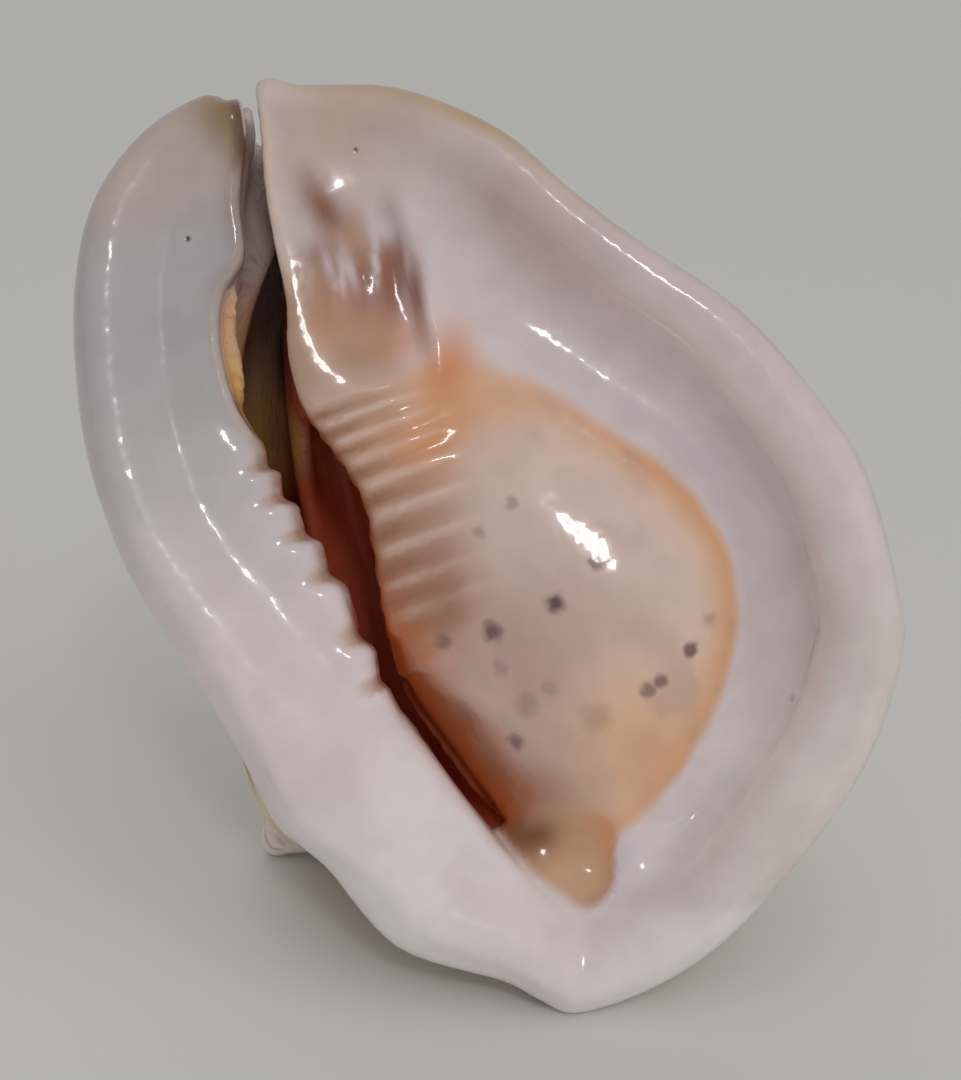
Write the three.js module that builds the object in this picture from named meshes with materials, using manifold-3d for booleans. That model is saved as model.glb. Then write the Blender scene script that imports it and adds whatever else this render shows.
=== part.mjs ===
// A horned helmet shell, grown in one piece. It stands on the back edge of its face
// and on two of its horns, with the face towards -Y. Millimetres, +Z up.
//
// The shape is worked out in shell coordinates: u runs across the face, v along it to
// the front end, and w out of it. The edge of the face lies near w = 0. One function,
// shellField, is negative inside the shell and positive outside. It is turned into a
// closed mesh, thinned to a few thousand triangles and stood on the floor.

import * as THREE from 'three';
import Module from 'manifold-3d';

const DEG = Math.PI / 180;
const TURN = 2 * Math.PI;

// How the shell stands
const FACE_LEAN = 22 * DEG;
const AXIS_ROLL = 20 * DEG;
const FLOOR_HEIGHT = -3.2;
const CENTRE_X = -30.2;
const CENTRE_Y = 81.5;

// Outer edge of the face, clockwise from the tip of the columella. Each row holds
// u, v, the radius of the rolled edge, and the height of its crest over w = 0.
const FACE_EDGE = [
  [0, 258, 4, 2], [8, 253.5, 4.5, 2], [32, 244, 5, 3], [53, 225, 6, 4],
  [65, 204, 6.5, 5], [77, 185.5, 7.5, 6.5], [95.5, 159.5, 8.5, 8], [107, 130.5, 9.5, 9],
  [112, 106.5, 10, 9], [109, 74.5, 10.5, 9], [104, 59.5, 11, 9], [87.5, 38, 11, 8],
  [68, 23, 11, 7], [44, 9.5, 10, 6], [27.5, 3, 9.5, 5], [10, 0, 9, 4], [-7.5, 1, 8.5, 3],
  [-15, 7.5, 9, 4], [-23, 16, 10, 5], [-43, 30, 13, 6], [-51.5, 44, 15, 6],
  [-59, 69, 16, 6], [-66.5, 94, 15, 6], [-77, 142, 11, 6], [-78.5, 167.5, 9.5, 6],
  [-76.5, 189, 9, 5.5], [-70.5, 212, 8.5, 5], [-62.5, 231, 8, 4.5], [-53.5, 244, 7.5, 4],
  [-41.5, 253.5, 7, 3], [-29, 258.5, 6, 2.5], [-16, 260, 5.5, 2], [-10, 256, 5, 2],
];
const EDGE_STEPS = 4;

// Inner edge of the outer lip, and edge of the columella: v, then u
const LIP_EDGE = [
  [-12, 190], [8, 70], [24, 7.5], [31, -1], [42, -8], [61, -15], [78, -20], [91, -23.5],
  [104.5, -25], [124, -27], [136, -28.9], [145, -30.7], [157, -33.2], [170, -34.5], [181.5, -36.5],
  [194, -35.5], [202, -33.5], [210.5, -29], [217, -21.5], [231, -17.5], [251, -9], [280, -6],
];
const COLUMELLA_EDGE = [
  [80, -25], [90, -24.4], [98.5, -22.9], [110, -20.6], [120, -18.9], [134, -16.1], [146, -14.3],
  [156.5, -15.8], [168, -19.2], [176, -20.5], [190, -19], [202, -15], [218, -12.5], [234, -9.5],
  [255, -3.5], [280, -2],
];

// Teeth of the lip: v of each tooth's steep front, and its count
const TOOTH_FRONTS = [
  [98, 0], [111, 1], [129.5, 2], [142, 3], [153.5, 4], [163, 5], [173, 6],
];
const TOOTH_LENGTH = 1.1;
const TOOTH_HEIGHT = 0.45;
const TOOTH_REACH = 6;
const TEETH = { from: 92, to: 170, soft: 8 };

// Folds of the columella: v of each crest, and its count
const FOLD_CRESTS = [
  [106, -1], [115, 0], [123, 1], [132, 2], [141.5, 3], [150, 4], [157, 5], [163, 6],
  [168.5, 7], [174, 8],
];
const FOLD_LENGTH = 0.4;
const FOLD_HEIGHT = 0.9;
const FOLDS = { from: 112, to: 172, soft: 4 };
const FOLDS_FADE = [16, 34];

// Swollen belly on the face: its centre, and its radius every 30 degrees from +u
const BELLY_U = 24;
const BELLY_V = 100;
const BELLY_RADII = [48.5, 49, 54, 72, 78, 62, 52, 58, 70, 58, 50, 47.5];
const BELLY_HEIGHT = 22;
const BELLY_TILT = 0.2;
const BELLY_SPREAD = 1.15;
const BELLY_FILLET = 5;
const BELLY_FLOOR = -62;

// Levels of the face, how far in from its edge they are reached, and where the lip's
// band turns into the shield's gutter
const LIP_LEVEL = -1;
const LIP_SLOPE = [6, 24];
const GUTTER_LEVEL = -15;
const GUTTER_SLOPE = [6, 27];
const GUTTER_RISES = [175, 235];
const FRONT_LEVEL = -4;
const RIM_DROP = 2;
const SHIELD_FROM_U = [0, 45];
const SHIELD_FROM_V = [0, 40];
const LIP_THICKNESS = 13;
const SHIELD_THICKNESS = 8;

// Where the belly drops to the aperture, by v, and the width of the drop
const DROP_DEPTH = 21;
const DROP_INSET = 2;
const DROP_STARTS = [22, 66];
const DROP_ENDS = [98, 126];
const DROP_NARROWS = [70, 115];
const DROP_WIDTHS = [26, 9];

// Oval pit at the back end, and the rounding of the columella's edge
const PIT = { u: 9, v: 38, halfWidth: 12, halfLength: 20, depth: 6, slope: [0.1, 1.3] };
const EDGE_ROUNDING = { from: 108, to: 172, soft: 10, depth: 6, reach: 5 };

// Fan-shaped hollow in front of the folds, steep on its right side, and its ribs
const FAN = { from: 178, to: 214, soft: 12, depth: 8, lean: 0.12, middle: 195 };
const FAN_LEFT = [-16, 12];
const FAN_RIGHT = [15, 21];
const FAN_RIBS = { pitch: 9, height: 0.8, lean: 0.3, middle: 200, fadesIn: [185, 205] };

// Coil: its axis, the apex, and the growth of the whorls
const AXIS_U = 3;
const AXIS_W = -52;
const APEX_V = 22;
const LIP_ANGLE = 150 * DEG;
const LAST_RADIUS = 80;
const GROWTH = 1.75;
const BACK_SWELL = 0.2;
const BODY_LENGTH = 228;
const TAPER = { from: 0.25, length: 0.77, power: 0.8 };
const WHORLS = 5;
const WHORL_FILLET = 1.5;

// The last whorl runs on past the lip as the columella's side, and merges there
const PAST_LIP = -100 * DEG;
const MERGES_FROM = -30 * DEG;

// Hollow of the last whorl, and the angles over which it closes at both ends
const WALL = 6;
const HOLLOW_ENDS = [380 * DEG, 470 * DEG];
const HOLLOW_STARTS = [-40 * DEG, -80 * DEG];
const CLOSED_WALL = 60;
const HOLLOW_ROUNDING = 6;

// Columella inside the hollow: its radius at the back and front, and its stretch of v
const ROD_RADII = [13, 7];
const ROD_NARROWS = [80, 240];
const ROD_MIDDLE = 136;
const ROD_HALF = 108;
const ROD_ROUNDING = 5;

// Profile of a whorl, as shares of its radius
const SUTURE = { radius: 0.57, depth: 0.40 };
const SHOULDER = { radius: 0.93, depth: 0.53 };
const SHOULDER_ROUNDING = 0.16;

// Horns along the shoulder, as shares of the whorl's radius there
const HORN_FIRST = 43 * DEG;
const HORN_SPACING = 72 * DEG;
const HORN_COUNT = 11;
const HORN_ROOT = { radius: 0.76, depth: 0.64, width: 0.26 };
const HORN_TIP = { radius: 1.09, depth: 0.515, width: 0.08 };
const SPIRE_KNOB_TIP = { radius: 1.0, depth: 0.57, width: 0.11 };
const HORN_FILLET = 0.2;
const HORN_REACH = 90;
const HIDDEN_FROM = 225 * DEG;
const HIDDEN_TO = 395 * DEG;

// Low knobs in two rows round the back
const KNOB_ROWS = [106, 140];
const KNOB_HEIGHT = 3.5;
const KNOB_LENGTH = 8;
const KNOBS_PER_TURN = 15;
const KNOBS = { from: 8 * DEG, to: 200 * DEG, soft: 8 * DEG };

// Middle line of the front canal: u, v, w and the radius of its hollow
const CANAL = [
  [-30, 120, -38, 16], [-27, 150, -30, 15], [-23, 180, -20, 13], [-20, 200, -16, 12],
  [-15, 218, -15, 10], [-10, 235, -20, 8], [-6, 250, -32, 7], [-4, 268, -42, 7],
];
const CANAL_WALL = 6.5;
const CANAL_SOLID_FROM = 2;
const CANAL_SOLID_TO = 6;
const CANAL_FILLET = 14;

// Floor of the slit between lip and columella: v, w
const SLIT_FLOOR = [[100, -30], [150, -30], [190, -12], [225, -12], [252, -44], [280, -44]];

// Gap under the lip
const GAP = { height: 10, reach: 40, overlap: 4, from: 44, to: 120, rounding: 4 };

// Fillets between plate, belly and rim, and the rounding of edges
const PLATE_FILLET = 14;
const RIM_FILLET = 9;
const PLATE_ROUNDING = 2;
const FACE_ROUNDING = 1;
const OPENING_ROUNDING = 2;

// How far past the lip's edge the lip's top, thickness and roof turn into the shield's
const TOP_CHANGES = [-3, 3];
const THICKNESS_CHANGES = [-4, 30];
const ROOF_CHANGES = [-4, 4];
const ROOF_THICKNESS = 9;

// Fillets where the spaces inside the shell run into each other
const ROOM_ROUNDING = 5;
const GAP_FILLET = 3;
const CANAL_MOUTH_FILLET = 5;
const SLIT_FILLET = 1;

// Fineness of the mesh
const GRID = 2.4;
const LOW = [-106, -12, -164];
const HIGH = [122, 270, 18];
const TRIANGLES = 9300;
const DETAIL = { above: -14, leftOf: 30, weight: 4 };

// Block of floor that the shell is trimmed by
const FLOOR_SIZE = 600;
const FLOOR_DEPTH = 100;

function clamp(x, low, high) {
  return Math.min(Math.max(x, low), high);
}

function mix(a, b, t) {
  return a + (b - a) * t;
}

// Goes from 0 at `from` to 1 at `to` with soft ends
function ease(from, to, x) {
  const t = clamp((x - from) / (to - from), 0, 1);
  return t * t * (3 - 2 * t);
}

// 1 within a stretch { from, to, soft }, and 0 outside its soft ends
function within({ from, to, soft }, x) {
  return ease(from - soft, from + soft, x) * (1 - ease(to - soft, to + soft, x));
}

// Union of two fields with a fillet of about k
function join(a, b, k) {
  const t = clamp(0.5 + (0.5 * (b - a)) / k, 0, 1);
  return mix(b, a, t) - k * t * (1 - t);
}

// Common part of two fields with an edge rounded by about k
function meet(a, b, k) {
  return -join(-a, -b, k);
}

// Smooth curve y(x) through rows of [x, y]
function curveThrough(rows) {
  const slopes = rows.map((row, i) => {
    const before = rows[Math.max(i - 1, 0)];
    const after = rows[Math.min(i + 1, rows.length - 1)];
    return (after[1] - before[1]) / (after[0] - before[0]);
  });
  return (x) => {
    const held = clamp(x, rows[0][0], rows[rows.length - 1][0]);
    let i = 0;
    while (i < rows.length - 2 && held > rows[i + 1][0]) i += 1;
    const span = rows[i + 1][0] - rows[i][0];
    const t = (held - rows[i][0]) / span;
    const rise = rows[i + 1][1] - rows[i][1];
    const leaving = (slopes[i] * span - rise) * (1 - t);
    const arriving = (slopes[i + 1] * span - rise) * t;
    return rows[i][1] + rise * t + t * (1 - t) * (leaving - arriving);
  };
}

// Value at angle a of a smooth closed curve through evenly spaced radii
function radiusAround(radii, a) {
  const count = radii.length;
  const place = (((a / TURN) % 1) + 1) % 1 * count;
  const i = Math.floor(place);
  const t = place - i;
  const [p, q, r, s] = [-1, 0, 1, 2].map((k) => radii[(i + k + count) % count]);
  return q + 0.5 * t * (r - p + t * (2 * p - 5 * q + 4 * r - s + t * (3 * (q - r) + s - p)));
}

// Closed smooth line through the rows of FACE_EDGE, as many short straight pieces
function smoothLoop(rows, steps) {
  const line = [];
  rows.forEach((row, i) => {
    const [p, q, r, s] = [-1, 0, 1, 2].map((k) => rows[(i + k + rows.length) % rows.length]);
    for (let step = 0; step < steps; step += 1) {
      const t = step / steps;
      line.push(row.map((_, c) => q[c] + 0.5 * t * (r[c] - p[c]
        + t * (2 * p[c] - 5 * q[c] + 4 * r[c] - s[c] + t * (3 * (q[c] - r[c]) + s[c] - p[c])))));
    }
  });
  return line;
}

const faceEdge = smoothLoop(FACE_EDGE, EDGE_STEPS);
const lipEdgeAt = curveThrough(LIP_EDGE);
const columellaEdgeAt = curveThrough(COLUMELLA_EDGE);
const slitFloorAt = curveThrough(SLIT_FLOOR);
const toothCountAt = curveThrough(TOOTH_FRONTS);
const foldCountAt = curveThrough(FOLD_CRESTS);

// Distance inside the face's edge, with the rolled edge's radius and crest there
function nearestEdge(u, v) {
  let best = Infinity;
  let inside = false;
  let roll = 0;
  let crest = 0;
  for (let i = 0; i < faceEdge.length; i += 1) {
    const a = faceEdge[i];
    const b = faceEdge[(i + 1) % faceEdge.length];
    const du = b[0] - a[0];
    const dv = b[1] - a[1];
    const t = clamp(((u - a[0]) * du + (v - a[1]) * dv) / (du * du + dv * dv), 0, 1);
    const away = Math.hypot(u - a[0] - t * du, v - a[1] - t * dv);
    if (away < best) {
      best = away;
      roll = mix(a[2], b[2], t);
      crest = mix(a[3], b[3], t);
    }
    if (a[1] > v !== b[1] > v && u < a[0] + ((v - a[1]) / dv) * du) inside = !inside;
  }
  return { depth: inside ? best : -best, roll, crest };
}

// Steep on the front side of each tooth and slanting on its back side
function toothWave(v) {
  const turns = TURN * toothCountAt(v);
  return -(Math.sin(turns) + 0.3 * Math.sin(2 * turns)) * within(TEETH, v);
}

function foldWave(v) {
  return Math.cos(TURN * foldCountAt(v)) * within(FOLDS, v);
}

// Level of the fan-shaped hollow under the ground around it
function fanDepth(u, v) {
  const left = ease(...FAN_LEFT, u);
  const right = 1 - ease(...FAN_RIGHT, u - FAN.lean * (v - FAN.middle));
  const share = left * right * within(FAN, v);
  const ribPlace = u - FAN_RIBS.lean * (v - FAN_RIBS.middle);
  const rib = Math.cos((TURN * ribPlace) / FAN_RIBS.pitch) * ease(...FAN_RIBS.fadesIn, v);
  return share * (FAN.depth - FAN_RIBS.height * rib);
}

// Everything about the face that depends on u and v alone
function faceAt(u, v) {
  const edge = nearestEdge(u, v);
  const slant = (lipEdgeAt(v + 1) - lipEdgeAt(v - 1)) / 2;
  const lipEdge = lipEdgeAt(v) + TOOTH_LENGTH * toothWave(v);
  const pastLip = (u - lipEdge) / Math.hypot(1, slant);
  const pastColumella = u - columellaEdgeAt(v) - FOLD_LENGTH * foldWave(v);

  // Broad levels: the lip's band on the left, the gutter inside the rim on the right
  const lipBand = mix(edge.crest - RIM_DROP, LIP_LEVEL, ease(...LIP_SLOPE, edge.depth));
  const gutterFloor = mix(GUTTER_LEVEL, FRONT_LEVEL, ease(...GUTTER_RISES, v));
  const gutter = mix(edge.crest - RIM_DROP, gutterFloor, ease(...GUTTER_SLOPE, edge.depth));
  const band = mix(lipBand, gutter, ease(...SHIELD_FROM_U, u) * ease(...SHIELD_FROM_V, v));
  const lipTop = band + TOOTH_HEIGHT * toothWave(v) * Math.exp(-Math.abs(pastLip) / TOOTH_REACH);

  // The belly stands out of the gutter, highest on its right side
  const angle = Math.atan2(v - BELLY_V, u - BELLY_U);
  const bellyRadius = radiusAround(BELLY_RADII, angle);
  const share = Math.hypot(u - BELLY_U, v - BELLY_V) / bellyRadius;
  const bellyHeight = BELLY_HEIGHT + BELLY_TILT * (u - BELLY_U);
  const belly = GUTTER_LEVEL + bellyHeight * (1 - (share / BELLY_SPREAD) ** 2);
  let top = -join(-band, -belly, BELLY_FILLET);

  // It drops to the aperture beside the lip, and into a pit at the back end
  const dropWidth = mix(...DROP_WIDTHS, ease(...DROP_NARROWS, v));
  const dropDepth = DROP_DEPTH * ease(...DROP_STARTS, v) * (1 - ease(...DROP_ENDS, v));
  top -= dropDepth * (1 - ease(-DROP_INSET, dropWidth, pastLip));
  const fromPit = Math.hypot((u - PIT.u) / PIT.halfWidth, (v - PIT.v) / PIT.halfLength);
  top -= PIT.depth * (1 - ease(...PIT.slope, fromPit));

  // The columella's edge is rounded where the folds are, and sharp in front of them
  const rounding = EDGE_ROUNDING.depth * within(EDGE_ROUNDING, v);
  top -= rounding * Math.exp(-Math.max(pastColumella, 0) / EDGE_ROUNDING.reach);
  top += FOLD_HEIGHT * foldWave(v) * (1 - ease(...FOLDS_FADE, pastColumella));
  top -= fanDepth(u, v);

  return { edge, pastLip, pastColumella, lipTop, top, share, bellyRadius };
}

// Radius of the spiral at an age, counted backwards from the lip
function whorlRadius(age) {
  return LAST_RADIUS * GROWTH ** (-age / TURN) * (1 + BACK_SWELL * Math.sin(age / 2) ** 2);
}

// Share of the full width that the body has at v
function bodyTaper(v) {
  const along = (v - APEX_V) / BODY_LENGTH;
  const past = clamp((along - TAPER.from) / TAPER.length, 0, 1);
  return (1 - past * past) ** TAPER.power;
}

function whorlField(radius, across, v, taper, bump) {
  const side = across - radius * taper - bump;
  const slope = (SHOULDER.depth - SUTURE.depth) / (SHOULDER.radius - SUTURE.radius);
  const rampV = APEX_V + radius * SUTURE.depth + slope * (across - radius * SUTURE.radius);
  const ramp = (rampV - v) / Math.hypot(1, slope);
  return meet(side, ramp, SHOULDER_ROUNDING * radius);
}

// Round-ended cone from a to b, each [u, v, w, radius]
function coneField(a, b, u, v, w) {
  const d = [b[0] - a[0], b[1] - a[1], b[2] - a[2]];
  const p = [u - a[0], v - a[1], w - a[2]];
  const along = (p[0] * d[0] + p[1] * d[1] + p[2] * d[2]) / (d[0] ** 2 + d[1] ** 2 + d[2] ** 2);
  const t = clamp(along, 0, 1);
  const away = Math.hypot(p[0] - t * d[0], p[1] - t * d[1], p[2] - t * d[2]);
  return away - mix(a[3], b[3], t);
}

function onWhorl(age, share) {
  const radius = whorlRadius(age);
  const angle = LIP_ANGLE + age;
  return [
    AXIS_U + share.radius * radius * Math.cos(angle),
    APEX_V + share.depth * radius,
    AXIS_W + share.radius * radius * Math.sin(angle),
    share.width * radius,
  ];
}

const horns = [];
for (let k = 0; k < HORN_COUNT; k += 1) {
  const age = HORN_FIRST + k * HORN_SPACING;
  const hidden = age > HIDDEN_FROM && age < HIDDEN_TO;
  const tip = age < TURN ? HORN_TIP : SPIRE_KNOB_TIP;
  if (!hidden) horns.push([onWhorl(age, HORN_ROOT), onWhorl(age, tip), HORN_FILLET * whorlRadius(age)]);
}

function hornsField(body, u, v, w) {
  let field = body;
  for (const [root, tip, fillet] of horns) {
    const reach = Math.abs(u - root[0]) + Math.abs(v - root[1]) + Math.abs(w - root[2]);
    if (reach < HORN_REACH) field = join(field, coneField(root, tip, u, v, w), fillet);
  }
  return field;
}

function canalField(from, to, extra, u, v, w) {
  let field = Infinity;
  for (let i = from; i < to; i += 1) {
    field = Math.min(field, coneField(CANAL[i], CANAL[i + 1], u, v, w) - extra);
  }
  return field;
}

// Whorls, horns and knobs as one solid, and the hollow inside the last whorl
function coilAt(u, v, w) {
  const across = Math.hypot(u - AXIS_U, w - AXIS_W);
  const angle = Math.atan2(w - AXIS_W, u - AXIS_U);
  const age = (((angle - LIP_ANGLE) % TURN) + TURN) % TURN;
  const taper = bodyTaper(v);
  const rowWave = KNOB_ROWS.reduce((sum, row) => sum + Math.exp(-(((v - row) / KNOB_LENGTH) ** 2)), 0);
  const knob = KNOB_HEIGHT * rowWave * (0.5 + 0.5 * Math.cos(KNOBS_PER_TURN * age));
  const rodRadius = mix(...ROD_RADII, ease(...ROD_NARROWS, v));
  let solid = meet(across - rodRadius, Math.abs(v - ROD_MIDDLE) - ROD_HALF, ROD_ROUNDING);
  let hollow = Infinity;
  for (let n = WHORLS - 1; n >= -1; n -= 1) {
    const back = age + n * TURN;
    if (back < PAST_LIP) continue;
    const merging = mix(1, 1 / GROWTH, ease(MERGES_FROM, PAST_LIP, back));
    const radius = whorlRadius(age) * GROWTH ** -n * merging;
    const bump = n === 0 ? knob * within(KNOBS, back) : 0;
    const whorl = whorlField(radius, across, v, taper, bump);
    if (n <= 1) {
      const closing = ease(...HOLLOW_ENDS, back) + ease(...HOLLOW_STARTS, back);
      const inner = whorlField(radius, across, v, taper, 0) + WALL + CLOSED_WALL * closing;
      hollow = Math.min(hollow, meet(inner, -solid, HOLLOW_ROUNDING));
    }
    solid = join(solid, whorl, WHORL_FILLET);
  }
  return { solid: hornsField(solid, u, v, w), hollow };
}

// Negative inside the shell, about the distance to its surface in millimetres
function shellField(face, u, v, w) {
  const { edge, pastLip, pastColumella, lipTop, top, share, bellyRadius } = face;
  const coil = coilAt(u, v, w);

  // Body, belly, canal and the plates of lip and shield, cut off at the face
  const plateTop = mix(lipTop, top, ease(...TOP_CHANGES, pastLip));
  const half = mix(LIP_THICKNESS, SHIELD_THICKNESS, ease(...THICKNESS_CHANGES, pastLip)) / 2;
  const plate = meet(Math.abs(w - plateTop + half) - half, edge.roll - edge.depth, PLATE_ROUNDING);
  const bellyFill = Math.max((share - 1) * bellyRadius, BELLY_FLOOR - w);
  const canal = canalField(CANAL_SOLID_FROM, CANAL_SOLID_TO, CANAL_WALL, u, v, w);
  let solid = join(coil.solid, plate, PLATE_FILLET);
  solid = join(solid, bellyFill, BELLY_FILLET);
  solid = join(solid, canal, CANAL_FILLET);
  const underLip = meet(w - lipTop, pastLip, RIM_FILLET);
  solid = meet(solid, Math.min(underLip, w - top), FACE_ROUNDING);

  // Rolled edge all round
  const rolled = Math.hypot(edge.depth - edge.roll, w - edge.crest + edge.roll) - edge.roll;
  solid = join(solid, rolled, RIM_FILLET);

  // Hollow of the last whorl, the gap under the lip, the slit and the canal
  const roof = mix(lipTop - LIP_THICKNESS, top - ROOF_THICKNESS, ease(...ROOF_CHANGES, pastLip));
  const room = meet(coil.hollow, w - roof, ROOM_ROUNDING);
  const gapMiddle = lipTop - LIP_THICKNESS - GAP.height / 2;
  const gapEnds = Math.max(-pastLip - GAP.reach, pastLip - GAP.overlap, GAP.from - v, v - GAP.to);
  const gapSide = Math.max(gapEnds, coil.solid + WALL);
  const gap = meet(Math.abs(w - gapMiddle) - GAP.height / 2, gapSide, GAP.rounding);
  const slit = Math.max(-pastLip, pastColumella, slitFloorAt(v) - w);
  const canalHollow = canalField(0, CANAL.length - 1, 0, u, v, w);
  let open = join(room, gap, GAP_FILLET);
  open = join(open, canalHollow, CANAL_MOUTH_FILLET);
  open = join(open, slit, SLIT_FILLET);
  return meet(solid, -open, OPENING_ROUNDING);
}

// Closed mesh of the field's zero surface, one vertex in each grid cell that it crosses
function meshField() {
  const size = LOW.map((low, i) => Math.ceil((HIGH[i] - low) / GRID) + 1);
  const [nu, nv, nw] = size;
  const values = new Float32Array(nu * nv * nw);
  const at = (i, j, k) => (i * nv + j) * nw + k;
  for (let i = 0; i < nu; i += 1) {
    for (let j = 0; j < nv; j += 1) {
      const u = LOW[0] + i * GRID;
      const v = LOW[1] + j * GRID;
      const face = faceAt(u, v);
      for (let k = 0; k < nw; k += 1) values[at(i, j, k)] = shellField(face, u, v, LOW[2] + k * GRID);
    }
  }
  fillPinches(values, size, at);
  const vertexOf = new Int32Array(values.length).fill(-1);
  const points = [];
  for (let i = 0; i < nu - 1; i += 1) {
    for (let j = 0; j < nv - 1; j += 1) {
      for (let k = 0; k < nw - 1; k += 1) {
        const point = cellPoint(values, at, i, j, k);
        if (!point) continue;
        vertexOf[at(i, j, k)] = points.length;
        points.push(point);
      }
    }
  }
  const triangles = [];
  const quad = (a, b, c, d, flip) => {
    if (flip) triangles.push([a, d, c], [a, c, b]);
    else triangles.push([a, b, c], [a, c, d]);
  };
  for (let i = 1; i < nu - 1; i += 1) {
    for (let j = 1; j < nv - 1; j += 1) {
      for (let k = 1; k < nw - 1; k += 1) {
        const inside = values[at(i, j, k)] < 0;
        const cell = (di, dj, dk) => vertexOf[at(i + di, j + dj, k + dk)];
        if (inside !== values[at(i + 1, j, k)] < 0) {
          quad(cell(0, -1, -1), cell(0, 0, -1), cell(0, 0, 0), cell(0, -1, 0), !inside);
        }
        if (inside !== values[at(i, j + 1, k)] < 0) {
          quad(cell(-1, 0, -1), cell(-1, 0, 0), cell(0, 0, 0), cell(0, 0, -1), !inside);
        }
        if (inside !== values[at(i, j, k + 1)] < 0) {
          quad(cell(-1, -1, 0), cell(0, -1, 0), cell(0, 0, 0), cell(-1, 0, 0), !inside);
        }
      }
    }
  }
  return { points, triangles };
}

// True where the corners of a cell, as bits, form at most one group inside and one outside
function isSimple(bits) {
  return [bits, 255 - bits].every((group) => {
    const members = [0, 1, 2, 3, 4, 5, 6, 7].filter((c) => (group >> c) & 1);
    const reached = new Set(members.slice(0, 1));
    for (const c of reached) {
      for (const bit of [1, 2, 4]) {
        if ((group >> (c ^ bit)) & 1) reached.add(c ^ bit);
      }
    }
    return reached.size === members.length;
  });
}

// Fills the corners where two stretches of surface would touch in one cell
function fillPinches(values, [nu, nv, nw], at) {
  const simple = Array.from({ length: 256 }, (_, bits) => isSimple(bits));
  let changed = true;
  while (changed) {
    changed = false;
    for (let i = 0; i < nu - 1; i += 1) {
      for (let j = 0; j < nv - 1; j += 1) {
        for (let k = 0; k < nw - 1; k += 1) {
          let bits = 0;
          let nearest = -1;
          for (let c = 0; c < 8; c += 1) {
            const place = at(i + (c & 1), j + ((c >> 1) & 1), k + ((c >> 2) & 1));
            if (values[place] < 0) bits |= 1 << c;
            else if (nearest < 0 || values[place] < values[nearest]) nearest = place;
          }
          if (simple[bits]) continue;
          values[nearest] = -0.01;
          changed = true;
        }
      }
    }
  }
}

const CELL_EDGES = [];
for (let a = 0; a < 8; a += 1) {
  for (const bit of [1, 2, 4]) {
    if (!(a & bit)) CELL_EDGES.push([a, a | bit]);
  }
}

// Mean of the places where the surface crosses the edges of one grid cell
function cellPoint(values, at, i, j, k) {
  const corner = (c) => [i + (c & 1), j + ((c >> 1) & 1), k + ((c >> 2) & 1)];
  const sum = [0, 0, 0];
  let count = 0;
  for (const [a, b] of CELL_EDGES) {
    const p = corner(a);
    const q = corner(b);
    const fp = values[at(...p)];
    const fq = values[at(...q)];
    if (fp < 0 === fq < 0) continue;
    const t = fp / (fp - fq);
    for (let c = 0; c < 3; c += 1) sum[c] += mix(p[c], q[c], t);
    count += 1;
  }
  return count ? sum.map((s, c) => LOW[c] + (GRID * s) / count) : null;
}

// Keeps the piece with the most triangles, so no sealed bubble is left inside
function largestPiece({ points, triangles }) {
  const owner = points.map((_, i) => i);
  const find = (i) => {
    let root = i;
    while (owner[root] !== root) root = owner[root];
    while (owner[i] !== root) [owner[i], i] = [root, owner[i]];
    return root;
  };
  triangles.forEach(([a, b, c]) => {
    owner[find(a)] = find(b);
    owner[find(b)] = find(c);
  });
  const counts = new Map();
  triangles.forEach(([a]) => counts.set(find(a), (counts.get(find(a)) ?? 0) + 1));
  const main = [...counts].sort((p, q) => q[1] - p[1])[0][0];
  return { points, triangles: triangles.filter(([a]) => find(a) === main) };
}

// Moves each point onto the field's zero surface
function settle(points) {
  const value = (p) => shellField(faceAt(p[0], p[1]), p[0], p[1], p[2]);
  const reach = 0.3;
  points.forEach((point) => {
    for (let pass = 0; pass < 2; pass += 1) {
      const here = value(point);
      const slope = [0, 1, 2].map((c) => {
        const near = [...point];
        near[c] += reach;
        return (value(near) - here) / reach;
      });
      const steep = slope[0] ** 2 + slope[1] ** 2 + slope[2] ** 2;
      const move = clamp(here / Math.max(steep, 0.2), -GRID / 2, GRID / 2);
      for (let c = 0; c < 3; c += 1) point[c] -= move * slope[c];
    }
  });
}

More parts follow.
